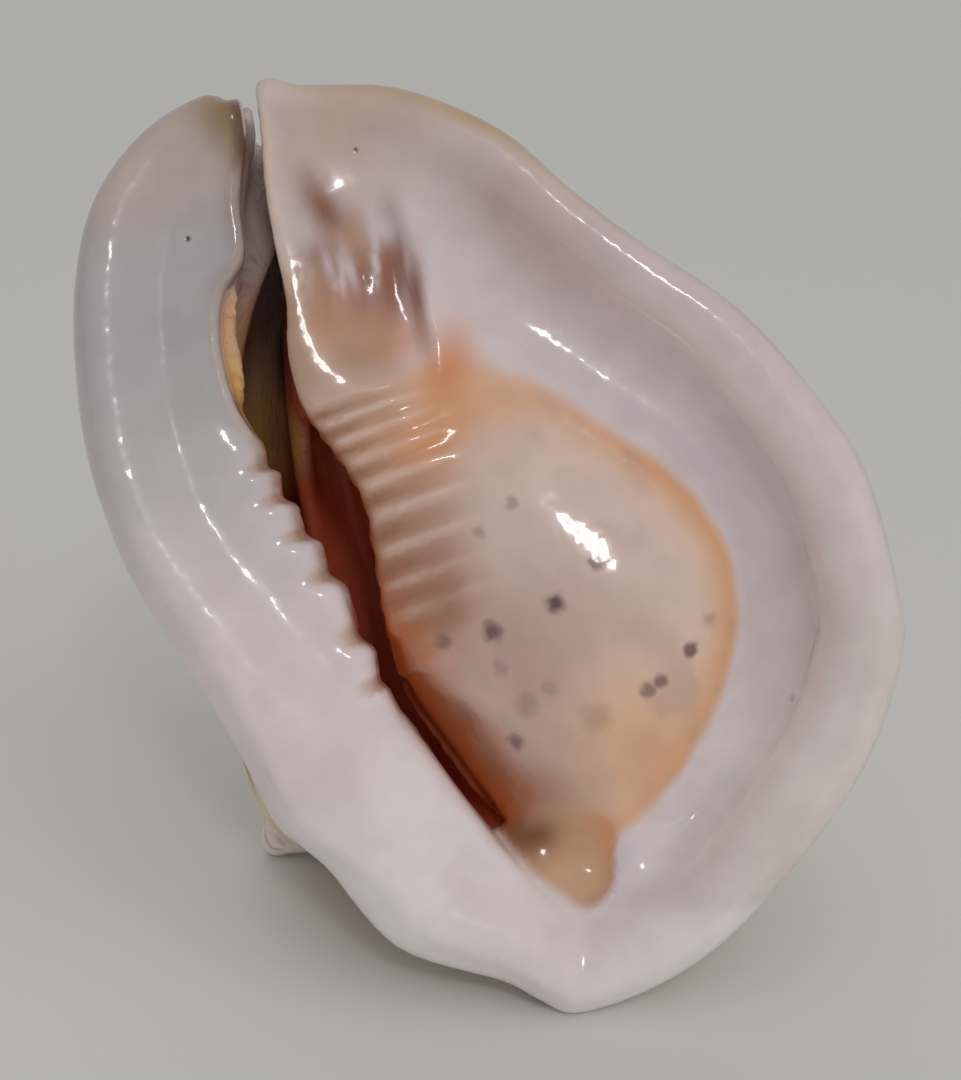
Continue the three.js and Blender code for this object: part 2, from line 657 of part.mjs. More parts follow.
// Merges the edges that cost the least shape until few enough triangles are left
function thinMesh({ points, triangles }, target, weightAt) {
  const faces = triangles.map((t) => [...t]);
  const around = points.map(() => new Set());
  faces.forEach((face, f) => face.forEach((p) => around[p].add(f)));
  const errors = points.map(() => new Float64Array(10));
  faces.forEach((face) => addPlane(errors, points, face, weightAt));
  const stamp = new Int32Array(points.length);
  const heap = [];
  const offer = (a, b) => {
    pushHeap(heap, { a, b, ...bestMerge(errors, points, a, b), at: stamp[a] + stamp[b] });
  };
  faces.forEach(([a, b, c]) => {
    if (a < b) offer(a, b);
    if (b < c) offer(b, c);
    if (c < a) offer(c, a);
  });
  const gone = new Uint8Array(points.length);
  let left = faces.length;
  while (left > target && heap.length) {
    const best = popHeap(heap);
    const { a, b, place } = best;
    if (gone[a] || gone[b] || stamp[a] + stamp[b] !== best.at) continue;
    const near = (p) => new Set([...around[p]].flatMap((f) => faces[f]));
    const nearA = near(a);
    const shared = [...near(b)].filter((p) => nearA.has(p) && p !== a && p !== b);
    if (shared.length !== 2 || turnsOver(faces, points, around, a, b, place)) continue;
    for (const f of [...around[b]]) {
      if (around[a].has(f)) {
        faces[f].forEach((p) => around[p].delete(f));
        faces[f] = null;
        left -= 1;
      } else {
        faces[f] = faces[f].map((p) => (p === b ? a : p));
        around[a].add(f);
      }
    }
    gone[b] = 1;
    points[a] = place;
    for (let i = 0; i < 10; i += 1) errors[a][i] += errors[b][i];
    stamp[a] += 1;
    const ring = near(a);
    ring.delete(a);
    ring.forEach((p) => offer(a, p));
  }
  return { points, triangles: faces.filter((face) => face) };
}

// Adds the squared distance to a triangle's plane to its corners' errors
function addPlane(errors, points, [a, b, c], weightAt) {
  const [pa, pb, pc] = [points[a], points[b], points[c]];
  const normal = crossOf(pa, pb, pc);
  const area = Math.hypot(...normal) || 1e-12;
  const [x, y, z] = normal.map((n) => n / area);
  const d = -(x * pa[0] + y * pa[1] + z * pa[2]);
  const terms = [x * x, x * y, x * z, x * d, y * y, y * z, y * d, z * z, z * d, d * d];
  const weight = area * weightAt(pa);
  [a, b, c].forEach((p) => terms.forEach((term, i) => {
    errors[p][i] += weight * term;
  }));
}

function crossOf(a, b, c) {
  const [x1, y1, z1] = [b[0] - a[0], b[1] - a[1], b[2] - a[2]];
  const [x2, y2, z2] = [c[0] - a[0], c[1] - a[1], c[2] - a[2]];
  return [y1 * z2 - z1 * y2, z1 * x2 - x1 * z2, x1 * y2 - y1 * x2];
}

function errorAt(q, [x, y, z]) {
  return q[0] * x * x + 2 * q[1] * x * y + 2 * q[2] * x * z + 2 * q[3] * x + q[4] * y * y
    + 2 * q[5] * y * z + 2 * q[6] * y + q[7] * z * z + 2 * q[8] * z + q[9];
}

// Cheapest place for a merged point: the error's lowest point, or the edge's middle or ends
function bestMerge(errors, points, a, b) {
  const q = errors[a].map((value, i) => value + errors[b][i]);
  const middle = points[a].map((x, i) => (x + points[b][i]) / 2);
  const options = [middle, points[a], points[b]];
  const m = new THREE.Matrix3().set(q[0], q[1], q[2], q[1], q[4], q[5], q[2], q[5], q[7]);
  const size = (q[0] + q[4] + q[7]) / 3;
  if (Math.abs(m.determinant()) > 1e-4 * size ** 3) {
    const solved = new THREE.Vector3(-q[3], -q[6], -q[8]).applyMatrix3(m.invert()).toArray();
    const far = Math.hypot(...solved.map((x, i) => x - middle[i]));
    if (far < 2 * Math.hypot(...points[a].map((x, i) => x - points[b][i]))) options.unshift(solved);
  }
  let place = options[0];
  let cost = Infinity;
  for (const option of options) {
    const value = errorAt(q, option);
    if (value < cost) [place, cost] = [option, value];
  }
  const length = Math.hypot(...points[a].map((x, i) => x - points[b][i]));
  return { place: [...place], cost: cost + 1e-5 * length ** 3 };
}

// True if moving a and b to the place would turn over or flatten a triangle beside them
function turnsOver(faces, points, around, a, b, place) {
  for (const f of new Set([...around[a], ...around[b]])) {
    const face = faces[f];
    if (face.includes(a) && face.includes(b)) continue;
    const before = crossOf(...face.map((p) => points[p]));
    const after = crossOf(...face.map((p) => (p === a || p === b ? place : points[p])));
    const was = Math.hypot(...before);
    const is = Math.hypot(...after);
    const facing = before[0] * after[0] + before[1] * after[1] + before[2] * after[2];
    if (is < 1e-3 || facing < 0.3 * was * is) return true;
  }
  return false;
}

function pushHeap(heap, item) {
  heap.push(item);
  let i = heap.length - 1;
  while (i > 0) {
    const up = (i - 1) >> 1;
    if (heap[up].cost <= heap[i].cost) break;
    [heap[up], heap[i]] = [heap[i], heap[up]];
    i = up;
  }
}

function popHeap(heap) {
  const top = heap[0];
  const last = heap.pop();
  if (!heap.length) return top;
  heap[0] = last;
  let i = 0;
  for (;;) {
    const left = 2 * i + 1;
    const right = left + 1;
    let least = i;
    if (left < heap.length && heap[left].cost < heap[least].cost) least = left;
    if (right < heap.length && heap[right].cost < heap[least].cost) least = right;
    if (least === i) return top;
    [heap[least], heap[i]] = [heap[i], heap[least]];
    i = least;
  }
}

// Turns shell coordinates into the resting pose
const pose = new THREE.Matrix4().makeBasis(
  new THREE.Vector3(Math.cos(AXIS_ROLL), Math.sin(AXIS_ROLL) * Math.sin(FACE_LEAN),
    Math.sin(AXIS_ROLL) * Math.cos(FACE_LEAN)),
  new THREE.Vector3(-Math.sin(AXIS_ROLL), Math.cos(AXIS_ROLL) * Math.sin(FACE_LEAN),
    Math.cos(AXIS_ROLL) * Math.cos(FACE_LEAN)),
  new THREE.Vector3(0, -Math.cos(FACE_LEAN), Math.sin(FACE_LEAN)),
);
pose.setPosition(-CENTRE_X, -CENTRE_Y, -FLOOR_HEIGHT);

// The face's relief keeps more triangles than the plain back and the hollow
function detailWeight([u, v, w]) {
  return w > DETAIL.above && u < DETAIL.leftOf ? DETAIL.weight : 1;
}

const fine = largestPiece(meshField());
settle(fine.points);
const light = thinMesh(fine, TRIANGLES, detailWeight);

// Joins and cuts with solids
const wasm = await Module();
wasm.setup();

function toSolid(positions, index) {
  const mesh = new wasm.Mesh({
    numProp: 3,
    vertProperties: new Float32Array(positions),
    triVerts: new Uint32Array(index),
  });
  return new wasm.Manifold(mesh);
}

// Only the points in use, in the resting pose
const used = new Map();
const positions = [];
const index = light.triangles.flat().map((p) => {
  if (!used.has(p)) {
    used.set(p, used.size);
    positions.push(...new THREE.Vector3(...light.points[p]).applyMatrix4(pose).toArray());
  }
  return used.get(p);
});

// The three places where the shell rests are worn flat on the floor
const floorBox = new THREE.BoxGeometry(FLOOR_SIZE, FLOOR_SIZE, FLOOR_DEPTH);
floorBox.translate(0, 0, -FLOOR_DEPTH / 2);
const corners = floorBox.getAttribute('position');
const cornerOf = new Map();
const boxPositions = [];
const boxIndex = [...floorBox.index.array].map((i) => {
  const corner = [corners.getX(i), corners.getY(i), corners.getZ(i)];
  const key = corner.join();
  if (!cornerOf.has(key)) {
    cornerOf.set(key, cornerOf.size);
    boxPositions.push(...corner);
  }
  return cornerOf.get(key);
});
const standing = toSolid(positions, index).subtract(toSolid(boxPositions, boxIndex)).getMesh();

const geometry = new THREE.BufferGeometry();
geometry.setAttribute('position', new THREE.BufferAttribute(standing.vertProperties, 3));
geometry.setIndex(new THREE.BufferAttribute(standing.triVerts, 1));
geometry.computeVertexNormals();

const shell = new THREE.Mesh(
  geometry,
  new THREE.MeshStandardMaterial({ color: 0xe6d3c6, roughness: 0.25, metalness: 0 }),
);
shell.name = 'shell';

const model = new THREE.Group();
model.add(shell);

export default model;
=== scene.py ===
"""A horned helmet shell in its resting pose, with its glaze-like face and mottled back.

The shape is worked out in shell coordinates, in millimetres: u runs across the face, v
along it to the front end, and w out of it. The edge of the face lies near w = 0. The
function shell_field is negative inside the shell and positive outside, and its zero
surface becomes the mesh. The mesh is then turned into the resting pose, in metres.
"""

import math
from collections import namedtuple
from copy import copy

import bpy
import numpy as np
from mathutils import Matrix, Vector


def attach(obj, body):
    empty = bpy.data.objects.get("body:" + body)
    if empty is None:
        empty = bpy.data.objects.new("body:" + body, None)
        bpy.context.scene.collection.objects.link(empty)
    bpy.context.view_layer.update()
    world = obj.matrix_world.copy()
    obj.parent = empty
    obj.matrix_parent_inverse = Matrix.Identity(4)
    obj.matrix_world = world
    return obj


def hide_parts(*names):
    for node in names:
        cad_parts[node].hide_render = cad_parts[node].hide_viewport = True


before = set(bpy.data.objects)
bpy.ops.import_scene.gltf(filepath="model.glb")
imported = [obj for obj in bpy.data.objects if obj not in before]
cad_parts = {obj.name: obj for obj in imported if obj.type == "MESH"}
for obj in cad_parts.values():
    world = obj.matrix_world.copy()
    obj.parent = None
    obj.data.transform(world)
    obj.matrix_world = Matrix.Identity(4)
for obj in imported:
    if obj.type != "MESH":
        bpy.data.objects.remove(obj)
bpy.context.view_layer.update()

MM = 0.001
DEG = math.pi / 180
TURN = 2 * math.pi

# How the shell stands
FACE_LEAN = 22 * DEG
AXIS_ROLL = 20 * DEG
FLOOR_HEIGHT = -3.2
CENTRE_X = -30.2
CENTRE_Y = 81.5

# Camera, square to the face: focal length and picture height in pixels, then the sensor's
# height, the distance from the face and the place on it looked at, in millimetres
FOCAL_PIXELS = 1423
IMAGE_HEIGHT = 1080
SENSOR = 36
VIEW_DISTANCE = 370
VIEW_CENTRE = (11.7, 126.4, 0)

# Light from a window with two panes, in metres and watts, and soft light from wide
# patches of sky. Each stands some degrees right of the front and some degrees up.
LIGHT_TARGET = (0, -0.03, 0.11)
WINDOW = {"right": 10, "up": 43, "away": 1.1, "size": (0.07, 0.15), "gap": 0.08, "power": 0.55}
SOFT_LIGHTS = {
    "side": {"right": 55, "up": 20, "strength": 0.42},
    "top": {"right": 30, "up": 65, "strength": 0.20},
    "behind": {"right": 195, "up": 35, "strength": 0.30},
}
SOFTNESS = 60 * DEG
SKY = (0.99, 0.965, 0.945)
SKY_STRENGTH = 0.36
FLOOR_SIZE = 60
FLOOR_COLOUR = (232, 233, 230)
FLOOR_ROUGHNESS = 0.8

# Outer edge of the face, clockwise from the tip of the columella. Each row holds
# u, v, the radius of the rolled edge, and the height of its crest over w = 0.
FACE_EDGE = [
    [0, 258, 4, 2], [8, 253.5, 4.5, 2], [32, 244, 5, 3], [53, 225, 6, 4],
    [65, 204, 6.5, 5], [77, 185.5, 7.5, 6.5], [95.5, 159.5, 8.5, 8], [107, 130.5, 9.5, 9],
    [112, 106.5, 10, 9], [109, 74.5, 10.5, 9], [104, 59.5, 11, 9], [87.5, 38, 11, 8],
    [68, 23, 11, 7], [44, 9.5, 10, 6], [27.5, 3, 9.5, 5], [10, 0, 9, 4], [-7.5, 1, 8.5, 3],
    [-15, 7.5, 9, 4], [-23, 16, 10, 5], [-43, 30, 13, 6], [-51.5, 44, 15, 6],
    [-59, 69, 16, 6], [-66.5, 94, 15, 6], [-77, 142, 11, 6], [-78.5, 167.5, 9.5, 6],
    [-76.5, 189, 9, 5.5], [-70.5, 212, 8.5, 5], [-62.5, 231, 8, 4.5], [-53.5, 244, 7.5, 4],
    [-41.5, 253.5, 7, 3], [-29, 258.5, 6, 2.5], [-16, 260, 5.5, 2], [-10, 256, 5, 2],
]
EDGE_STEPS = 4

# Inner edge of the outer lip, and edge of the columella: v, then u
LIP_EDGE = [
    [-12, 190], [8, 70], [24, 7.5], [31, -1], [42, -8], [61, -15], [78, -20], [91, -23.5],
    [104.5, -25], [124, -27], [136, -28.9], [145, -30.7], [157, -33.2], [170, -34.5], [181.5, -36.5],
    [194, -35.5], [202, -33.5], [210.5, -29], [217, -21.5], [231, -17.5], [251, -9], [280, -6],
]
COLUMELLA_EDGE = [
    [80, -25], [90, -24.4], [98.5, -22.9], [110, -20.6], [120, -18.9], [134, -16.1], [146, -14.3],
    [156.5, -15.8], [168, -19.2], [176, -20.5], [190, -19], [202, -15], [218, -12.5], [234, -9.5],
    [255, -3.5], [280, -2],
]

# Teeth of the lip: v of each tooth's steep front, and its count
TOOTH_FRONTS = [
    [98, 0], [111, 1], [129.5, 2], [142, 3], [153.5, 4], [163, 5], [173, 6],
]
TOOTH_LENGTH = 1.1
TOOTH_HEIGHT = 0.45
TOOTH_REACH = 6
TEETH = (92, 170, 8)

# Folds of the columella: v of each crest, and its count
FOLD_CRESTS = [
    [106, -1], [115, 0], [123, 1], [132, 2], [141.5, 3], [150, 4], [157, 5], [163, 6],
    [168.5, 7], [174, 8],
]
FOLD_LENGTH = 0.4
FOLD_HEIGHT = 0.9
FOLDS = (112, 172, 4)
FOLDS_FADE = (16, 34)

# Swollen belly on the face: its centre, and its radius every 30 degrees from +u
BELLY_U = 24
BELLY_V = 100
BELLY_RADII = [48.5, 49, 54, 72, 78, 62, 52, 58, 70, 58, 50, 47.5]
BELLY_HEIGHT = 22
BELLY_TILT = 0.2
BELLY_SPREAD = 1.15
BELLY_FILLET = 5
BELLY_FLOOR = -62

# Levels of the face, how far in from its edge they are reached, and where the lip's
# band turns into the shield's gutter
LIP_LEVEL = -1
LIP_SLOPE = (6, 24)
GUTTER_LEVEL = -15
GUTTER_SLOPE = (6, 27)
GUTTER_RISES = (175, 235)
FRONT_LEVEL = -4
RIM_DROP = 2
SHIELD_FROM_U = (0, 45)
SHIELD_FROM_V = (0, 40)
LIP_THICKNESS = 13
SHIELD_THICKNESS = 8

# Where the belly drops to the aperture, by v, and the width of the drop
DROP_DEPTH = 21
DROP_INSET = 2
DROP_STARTS = (22, 66)
DROP_ENDS = (98, 126)
DROP_NARROWS = (70, 115)
DROP_WIDTHS = (26, 9)

# Oval pit at the back end, and the rounding of the columella's edge
PIT = {"u": 9, "v": 38, "half_width": 12, "half_length": 20, "depth": 6, "slope": (0.1, 1.3)}
EDGE_ROUNDING = (108, 172, 10)
EDGE_ROUNDING_DEPTH = 6
EDGE_ROUNDING_REACH = 5

# Fan-shaped hollow in front of the folds, steep on its right side, and its ribs
FAN = (178, 214, 12)
FAN_DEPTH = 8
FAN_LEAN = 0.12
FAN_MIDDLE = 195
FAN_LEFT = (-16, 12)
FAN_RIGHT = (15, 21)
FAN_RIBS = {"pitch": 9, "height": 0.8, "lean": 0.3, "middle": 200, "fades_in": (185, 205)}

# Coil: its axis, the apex, and the growth of the whorls
AXIS_U = 3
AXIS_W = -52
APEX_V = 22
LIP_ANGLE = 150 * DEG
LAST_RADIUS = 80
GROWTH = 1.75
BACK_SWELL = 0.2
BODY_LENGTH = 228
TAPER = {"from": 0.25, "length": 0.77, "power": 0.8}
WHORLS = 5
WHORL_FILLET = 1.5

# The last whorl runs on past the lip as the columella's side, and merges there
PAST_LIP = -100 * DEG
MERGES_FROM = -30 * DEG

# Hollow of the last whorl, and the angles over which it closes at both ends
WALL = 6
HOLLOW_ENDS = (380 * DEG, 470 * DEG)
HOLLOW_STARTS = (-40 * DEG, -80 * DEG)
CLOSED_WALL = 60
HOLLOW_ROUNDING = 6

# Columella inside the hollow: its radius at the back and front, and its stretch of v
ROD_RADII = (13, 7)
ROD_NARROWS = (80, 240)
ROD_MIDDLE = 136
ROD_HALF = 108
ROD_ROUNDING = 5

# Profile of a whorl, as shares of its radius
SUTURE = {"radius": 0.57, "depth": 0.40}
SHOULDER = {"radius": 0.93, "depth": 0.53}
SHOULDER_ROUNDING = 0.16

# Horns along the shoulder, as shares of the whorl's radius there
HORN_FIRST = 43 * DEG
HORN_SPACING = 72 * DEG
HORN_COUNT = 11
HORN_ROOT = {"radius": 0.76, "depth": 0.64, "width": 0.26}
HORN_TIP = {"radius": 1.09, "depth": 0.515, "width": 0.08}
SPIRE_KNOB_TIP = {"radius": 1.0, "depth": 0.57, "width": 0.11}
HORN_FILLET = 0.2
HORN_REACH = 90
HIDDEN_FROM = 225 * DEG
HIDDEN_TO = 395 * DEG

# Low knobs in two rows round the back
KNOB_ROWS = [106, 140]
KNOB_HEIGHT = 3.5
KNOB_LENGTH = 8
KNOBS_PER_TURN = 15
KNOBS = (8 * DEG, 200 * DEG, 8 * DEG)

# Middle line of the front canal: u, v, w and the radius of its hollow
CANAL = [
    [-30, 120, -38, 16], [-27, 150, -30, 15], [-23, 180, -20, 13], [-20, 200, -16, 12],
    [-15, 218, -15, 10], [-10, 235, -20, 8], [-6, 250, -32, 7], [-4, 268, -42, 7],
]
CANAL_WALL = 6.5
CANAL_SOLID_FROM = 2
CANAL_SOLID_TO = 6
CANAL_FILLET = 14

# Floor of the slit between lip and columella: v, w
SLIT_FLOOR = [[100, -30], [150, -30], [190, -12], [225, -12], [252, -44], [280, -44]]

# Gap under the lip
GAP = {"height": 10, "reach": 40, "overlap": 4, "from": 44, "to": 120, "rounding": 4}

# Fillets between plate, belly and rim, and the rounding of edges
PLATE_FILLET = 14
RIM_FILLET = 9
PLATE_ROUNDING = 2
FACE_ROUNDING = 1
OPENING_ROUNDING = 2

# How far past the lip's edge its top, thickness and roof turn into the shield's
TOP_CHANGES = (-3, 3)
THICKNESS_CHANGES = (-4, 30)
ROOF_CHANGES = (-4, 4)
ROOF_THICKNESS = 9

# Fillets where the spaces inside the shell run into each other
ROOM_ROUNDING = 5
GAP_FILLET = 3
CANAL_MOUTH_FILLET = 5
SLIT_FILLET = 1

# Steps of the grid that the surface is found on. They are finest at the teeth and folds.
STEP_U = [(-106, 3), (-84, 2.3), (-46, 1.7), (30, 2.3), (66, 2.7), (122, 2.7)]
STEP_V = [(-12, 2.3), (90, 1.55), (215, 2), (270, 2)]
STEP_W = [(-164, 3), (-36, 1.6), (18, 1.6)]

# Moving points onto the surface, filling pinched corners, and size of the noise's table
SLOPE_REACH = 0.2
LEAST_SLOPE = 0.2
LARGEST_MOVE = 0.8
JUST_INSIDE = -0.01
NOISE_TABLE = 32


def mix(a, b, t):
    return a + (b - a) * t


def ease(start, end, x):
    """Goes from 0 at start to 1 at end with soft ends."""
    t = np.clip((x - start) / (end - start), 0, 1)
    return t * t * (3 - 2 * t)


def within(stretch, x):
    """1 within a stretch (start, end, softness), and 0 outside its soft ends."""
    start, end, soft = stretch
    return ease(start - soft, start + soft, x) * (1 - ease(end - soft, end + soft, x))


def join(a, b, k):
    """Union of two fields with a fillet of about k."""
    t = np.clip(0.5 + 0.5 * (b - a) / k, 0, 1)
    return mix(b, a, t) - k * t * (1 - t)


def meet(a, b, k):
    """Common part of two fields with an edge rounded by about k."""
    return -join(-a, -b, k)


def curve_through(rows, x):
    """Smooth curve y(x) through rows of [x, y]."""
    points = np.array(rows, dtype=float)
    xs, ys = points[:, 0], points[:, 1]
    padded = np.vstack([points[:1], points, points[-1:]])
    slopes = (padded[2:, 1] - padded[:-2, 1]) / (padded[2:, 0] - padded[:-2, 0])
    held = np.clip(x, xs[0], xs[-1])
    i = np.clip(np.searchsorted(xs, held, side="right") - 1, 0, len(xs) - 2)
    span = xs[i + 1] - xs[i]
    t = (held - xs[i]) / span
    rise = ys[i + 1] - ys[i]
    leaving = (slopes[i] * span - rise) * (1 - t)
    arriving = (slopes[i + 1] * span - rise) * t
    return ys[i] + rise * t + t * (1 - t) * (leaving - arriving)


def curve_between(p, q, r, s, t):
    """Smooth curve from q to r, on its way from p to s."""
    return q + 0.5 * t * (r - p + t * (2 * p - 5 * q + 4 * r - s + t * (3 * (q - r) + s - p)))


def radius_around(radii, angle):
    """Value at an angle of a smooth closed curve through evenly spaced radii."""
    values = np.array(radii, dtype=float)
    count = len(values)
    place = np.mod(angle / TURN, 1) * count
    i = np.floor(place).astype(int)
    p, q, r, s = [values[(i + k) % count] for k in (-1, 0, 1, 2)]
    return curve_between(p, q, r, s, place - i)


def smooth_loop(rows, steps):
    """Closed smooth line through the rows, as many short straight pieces."""
    points = np.array(rows, dtype=float)
    p, q, r, s = [np.roll(points, -k, axis=0)[:, None, :] for k in (-1, 0, 1, 2)]
    t = (np.arange(steps) / steps)[None, :, None]
    return curve_between(p, q, r, s, t).reshape(-1, points.shape[1])


face_edge = smooth_loop(FACE_EDGE, EDGE_STEPS)


def nearest_edge(u, v):
    """Distance inside the face's edge, with the rolled edge's radius and crest there."""
    best = np.full(u.shape, np.inf)
    inside = np.zeros(u.shape, dtype=bool)
    roll = np.zeros(u.shape)
    crest = np.zeros(u.shape)
    for a, b in zip(face_edge, np.roll(face_edge, -1, axis=0)):
        du, dv = b[0] - a[0], b[1] - a[1]
        t = np.clip(((u - a[0]) * du + (v - a[1]) * dv) / (du * du + dv * dv), 0, 1)
        away = np.hypot(u - a[0] - t * du, v - a[1] - t * dv)
        closer = away < best
        best = np.where(closer, away, best)
        roll = np.where(closer, mix(a[2], b[2], t), roll)
        crest = np.where(closer, mix(a[3], b[3], t), crest)
        crosses = (a[1] > v) != (b[1] > v)
        if dv:
            inside ^= crosses & (u < a[0] + (v - a[1]) / dv * du)
    return np.where(inside, best, -best), roll, crest


def tooth_wave(v):
    """Steep on the front side of each tooth and slanting on its back side."""
    turns = TURN * curve_through(TOOTH_FRONTS, v)
    return -(np.sin(turns) + 0.3 * np.sin(2 * turns)) * within(TEETH, v)


def fold_wave(v):
    return np.cos(TURN * curve_through(FOLD_CRESTS, v)) * within(FOLDS, v)


def fan_share(u, v):
    left = ease(*FAN_LEFT, u)
    right = 1 - ease(*FAN_RIGHT, u - FAN_LEAN * (v - FAN_MIDDLE))
    return left * right * within(FAN, v)


def fan_rib(u, v):
    place = u - FAN_RIBS["lean"] * (v - FAN_RIBS["middle"])
    return np.cos(TURN * place / FAN_RIBS["pitch"]) * ease(*FAN_RIBS["fades_in"], v)


class Face:
    """Everything about the face that depends on u and v alone."""

    def __init__(self, u, v):
        self.depth, self.roll, self.crest = nearest_edge(u, v)
        slant = (curve_through(LIP_EDGE, v + 1) - curve_through(LIP_EDGE, v - 1)) / 2
        lip_edge = curve_through(LIP_EDGE, v) + TOOTH_LENGTH * tooth_wave(v)
        self.past_lip = (u - lip_edge) / np.hypot(1, slant)
        self.past_columella = u - curve_through(COLUMELLA_EDGE, v) - FOLD_LENGTH * fold_wave(v)
        self.slit_floor = curve_through(SLIT_FLOOR, v)
        self._levels(u, v)
        self._belly(u, v)
        self._relief(u, v)

    def part(self, row):
        """The same values for one row of points, set out to be met by a row of w."""
        part = copy(self)
        for name, value in vars(self).items():
            setattr(part, name, value[row, None])
        return part

    def _levels(self, u, v):
        rim = self.crest - RIM_DROP
        lip_band = mix(rim, LIP_LEVEL, ease(*LIP_SLOPE, self.depth))
        gutter_floor = mix(GUTTER_LEVEL, FRONT_LEVEL, ease(*GUTTER_RISES, v))
        gutter = mix(rim, gutter_floor, ease(*GUTTER_SLOPE, self.depth))
        self.band = mix(lip_band, gutter, ease(*SHIELD_FROM_U, u) * ease(*SHIELD_FROM_V, v))
        fading = np.exp(-np.abs(self.past_lip) / TOOTH_REACH)
        self.lip_top = self.band + TOOTH_HEIGHT * tooth_wave(v) * fading

    def _belly(self, u, v):
        self.belly_angle = np.arctan2(v - BELLY_V, u - BELLY_U)
        self.belly_radius = radius_around(BELLY_RADII, self.belly_angle)
        self.share = np.hypot(u - BELLY_U, v - BELLY_V) / self.belly_radius
        height = BELLY_HEIGHT + BELLY_TILT * (u - BELLY_U)
        belly = GUTTER_LEVEL + height * (1 - (self.share / BELLY_SPREAD) ** 2)
        self.top = -join(-self.band, -belly, BELLY_FILLET)

    def _relief(self, u, v):
        """The drop to the aperture, the pit, the columella's edge, the folds and the fan."""
        width = mix(*DROP_WIDTHS, ease(*DROP_NARROWS, v))
        depth = DROP_DEPTH * ease(*DROP_STARTS, v) * (1 - ease(*DROP_ENDS, v))
        self.top -= depth * (1 - ease(-DROP_INSET, width, self.past_lip))
        from_pit = np.hypot((u - PIT["u"]) / PIT["half_width"], (v - PIT["v"]) / PIT["half_length"])
        self.top -= PIT["depth"] * (1 - ease(*PIT["slope"], from_pit))
        rounding = EDGE_ROUNDING_DEPTH * within(EDGE_ROUNDING, v)
        self.top -= rounding * np.exp(-np.maximum(self.past_columella, 0) / EDGE_ROUNDING_REACH)
        self.top += FOLD_HEIGHT * fold_wave(v) * (1 - ease(*FOLDS_FADE, self.past_columella))
        self.top -= fan_share(u, v) * (FAN_DEPTH - FAN_RIBS["height"] * fan_rib(u, v))


def whorl_radius(age):
    """Radius of the spiral at an age, counted backwards from the lip."""
    return LAST_RADIUS * GROWTH ** (-age / TURN) * (1 + BACK_SWELL * np.sin(age / 2) ** 2)


def body_taper(v):
    """Share of the full width that the body has at v."""
    along = (v - APEX_V) / BODY_LENGTH
    past = np.clip((along - TAPER["from"]) / TAPER["length"], 0, 1)
    return (1 - past * past) ** TAPER["power"]


def whorl_field(radius, across, v, taper, bump):
    side = across - radius * taper - bump
    slope = (SHOULDER["depth"] - SUTURE["depth"]) / (SHOULDER["radius"] - SUTURE["radius"])
    ramp_v = APEX_V + radius * SUTURE["depth"] + slope * (across - radius * SUTURE["radius"])
    ramp = (ramp_v - v) / math.hypot(1, slope)
    return meet(side, ramp, SHOULDER_ROUNDING * radius)


def cone_field(a, b, u, v, w):
    """Round-ended cone from a to b, each [u, v, w, radius]."""
    d = [b[i] - a[i] for i in range(3)]
    pu, pv, pw = u - a[0], v - a[1], w - a[2]
    t = np.clip((pu * d[0] + pv * d[1] + pw * d[2]) / sum(x * x for x in d), 0, 1)
    away = np.sqrt((pu - t * d[0]) ** 2 + (pv - t * d[1]) ** 2 + (pw - t * d[2]) ** 2)
    return away - mix(a[3], b[3], t)


def on_whorl(age, share):
    radius = whorl_radius(age)
    angle = LIP_ANGLE + age
    return [
        AXIS_U + share["radius"] * radius * math.cos(angle),
        APEX_V + share["depth"] * radius,
        AXIS_W + share["radius"] * radius * math.sin(angle),
        share["width"] * radius,
    ]


def make_horns():
    rows = []
    for k in range(HORN_COUNT):
        age = HORN_FIRST + k * HORN_SPACING
        if HIDDEN_FROM < age < HIDDEN_TO:
            continue
        tip = HORN_TIP if age < TURN else SPIRE_KNOB_TIP
        rows.append((on_whorl(age, HORN_ROOT), on_whorl(age, tip), HORN_FILLET * whorl_radius(age)))
    return rows


horns = make_horns()


def canal_field(start, end, extra, u, v, w):
    field = np.inf
    for a, b in zip(CANAL[start:end], CANAL[start + 1:end + 1]):
        field = np.minimum(field, cone_field(a, b, u, v, w) - extra)
    return field


def age_at(u, w):
    """Angle round the axis, counted backwards from the lip."""
    return np.mod(np.arctan2(w - AXIS_W, u - AXIS_U) - LIP_ANGLE, TURN)


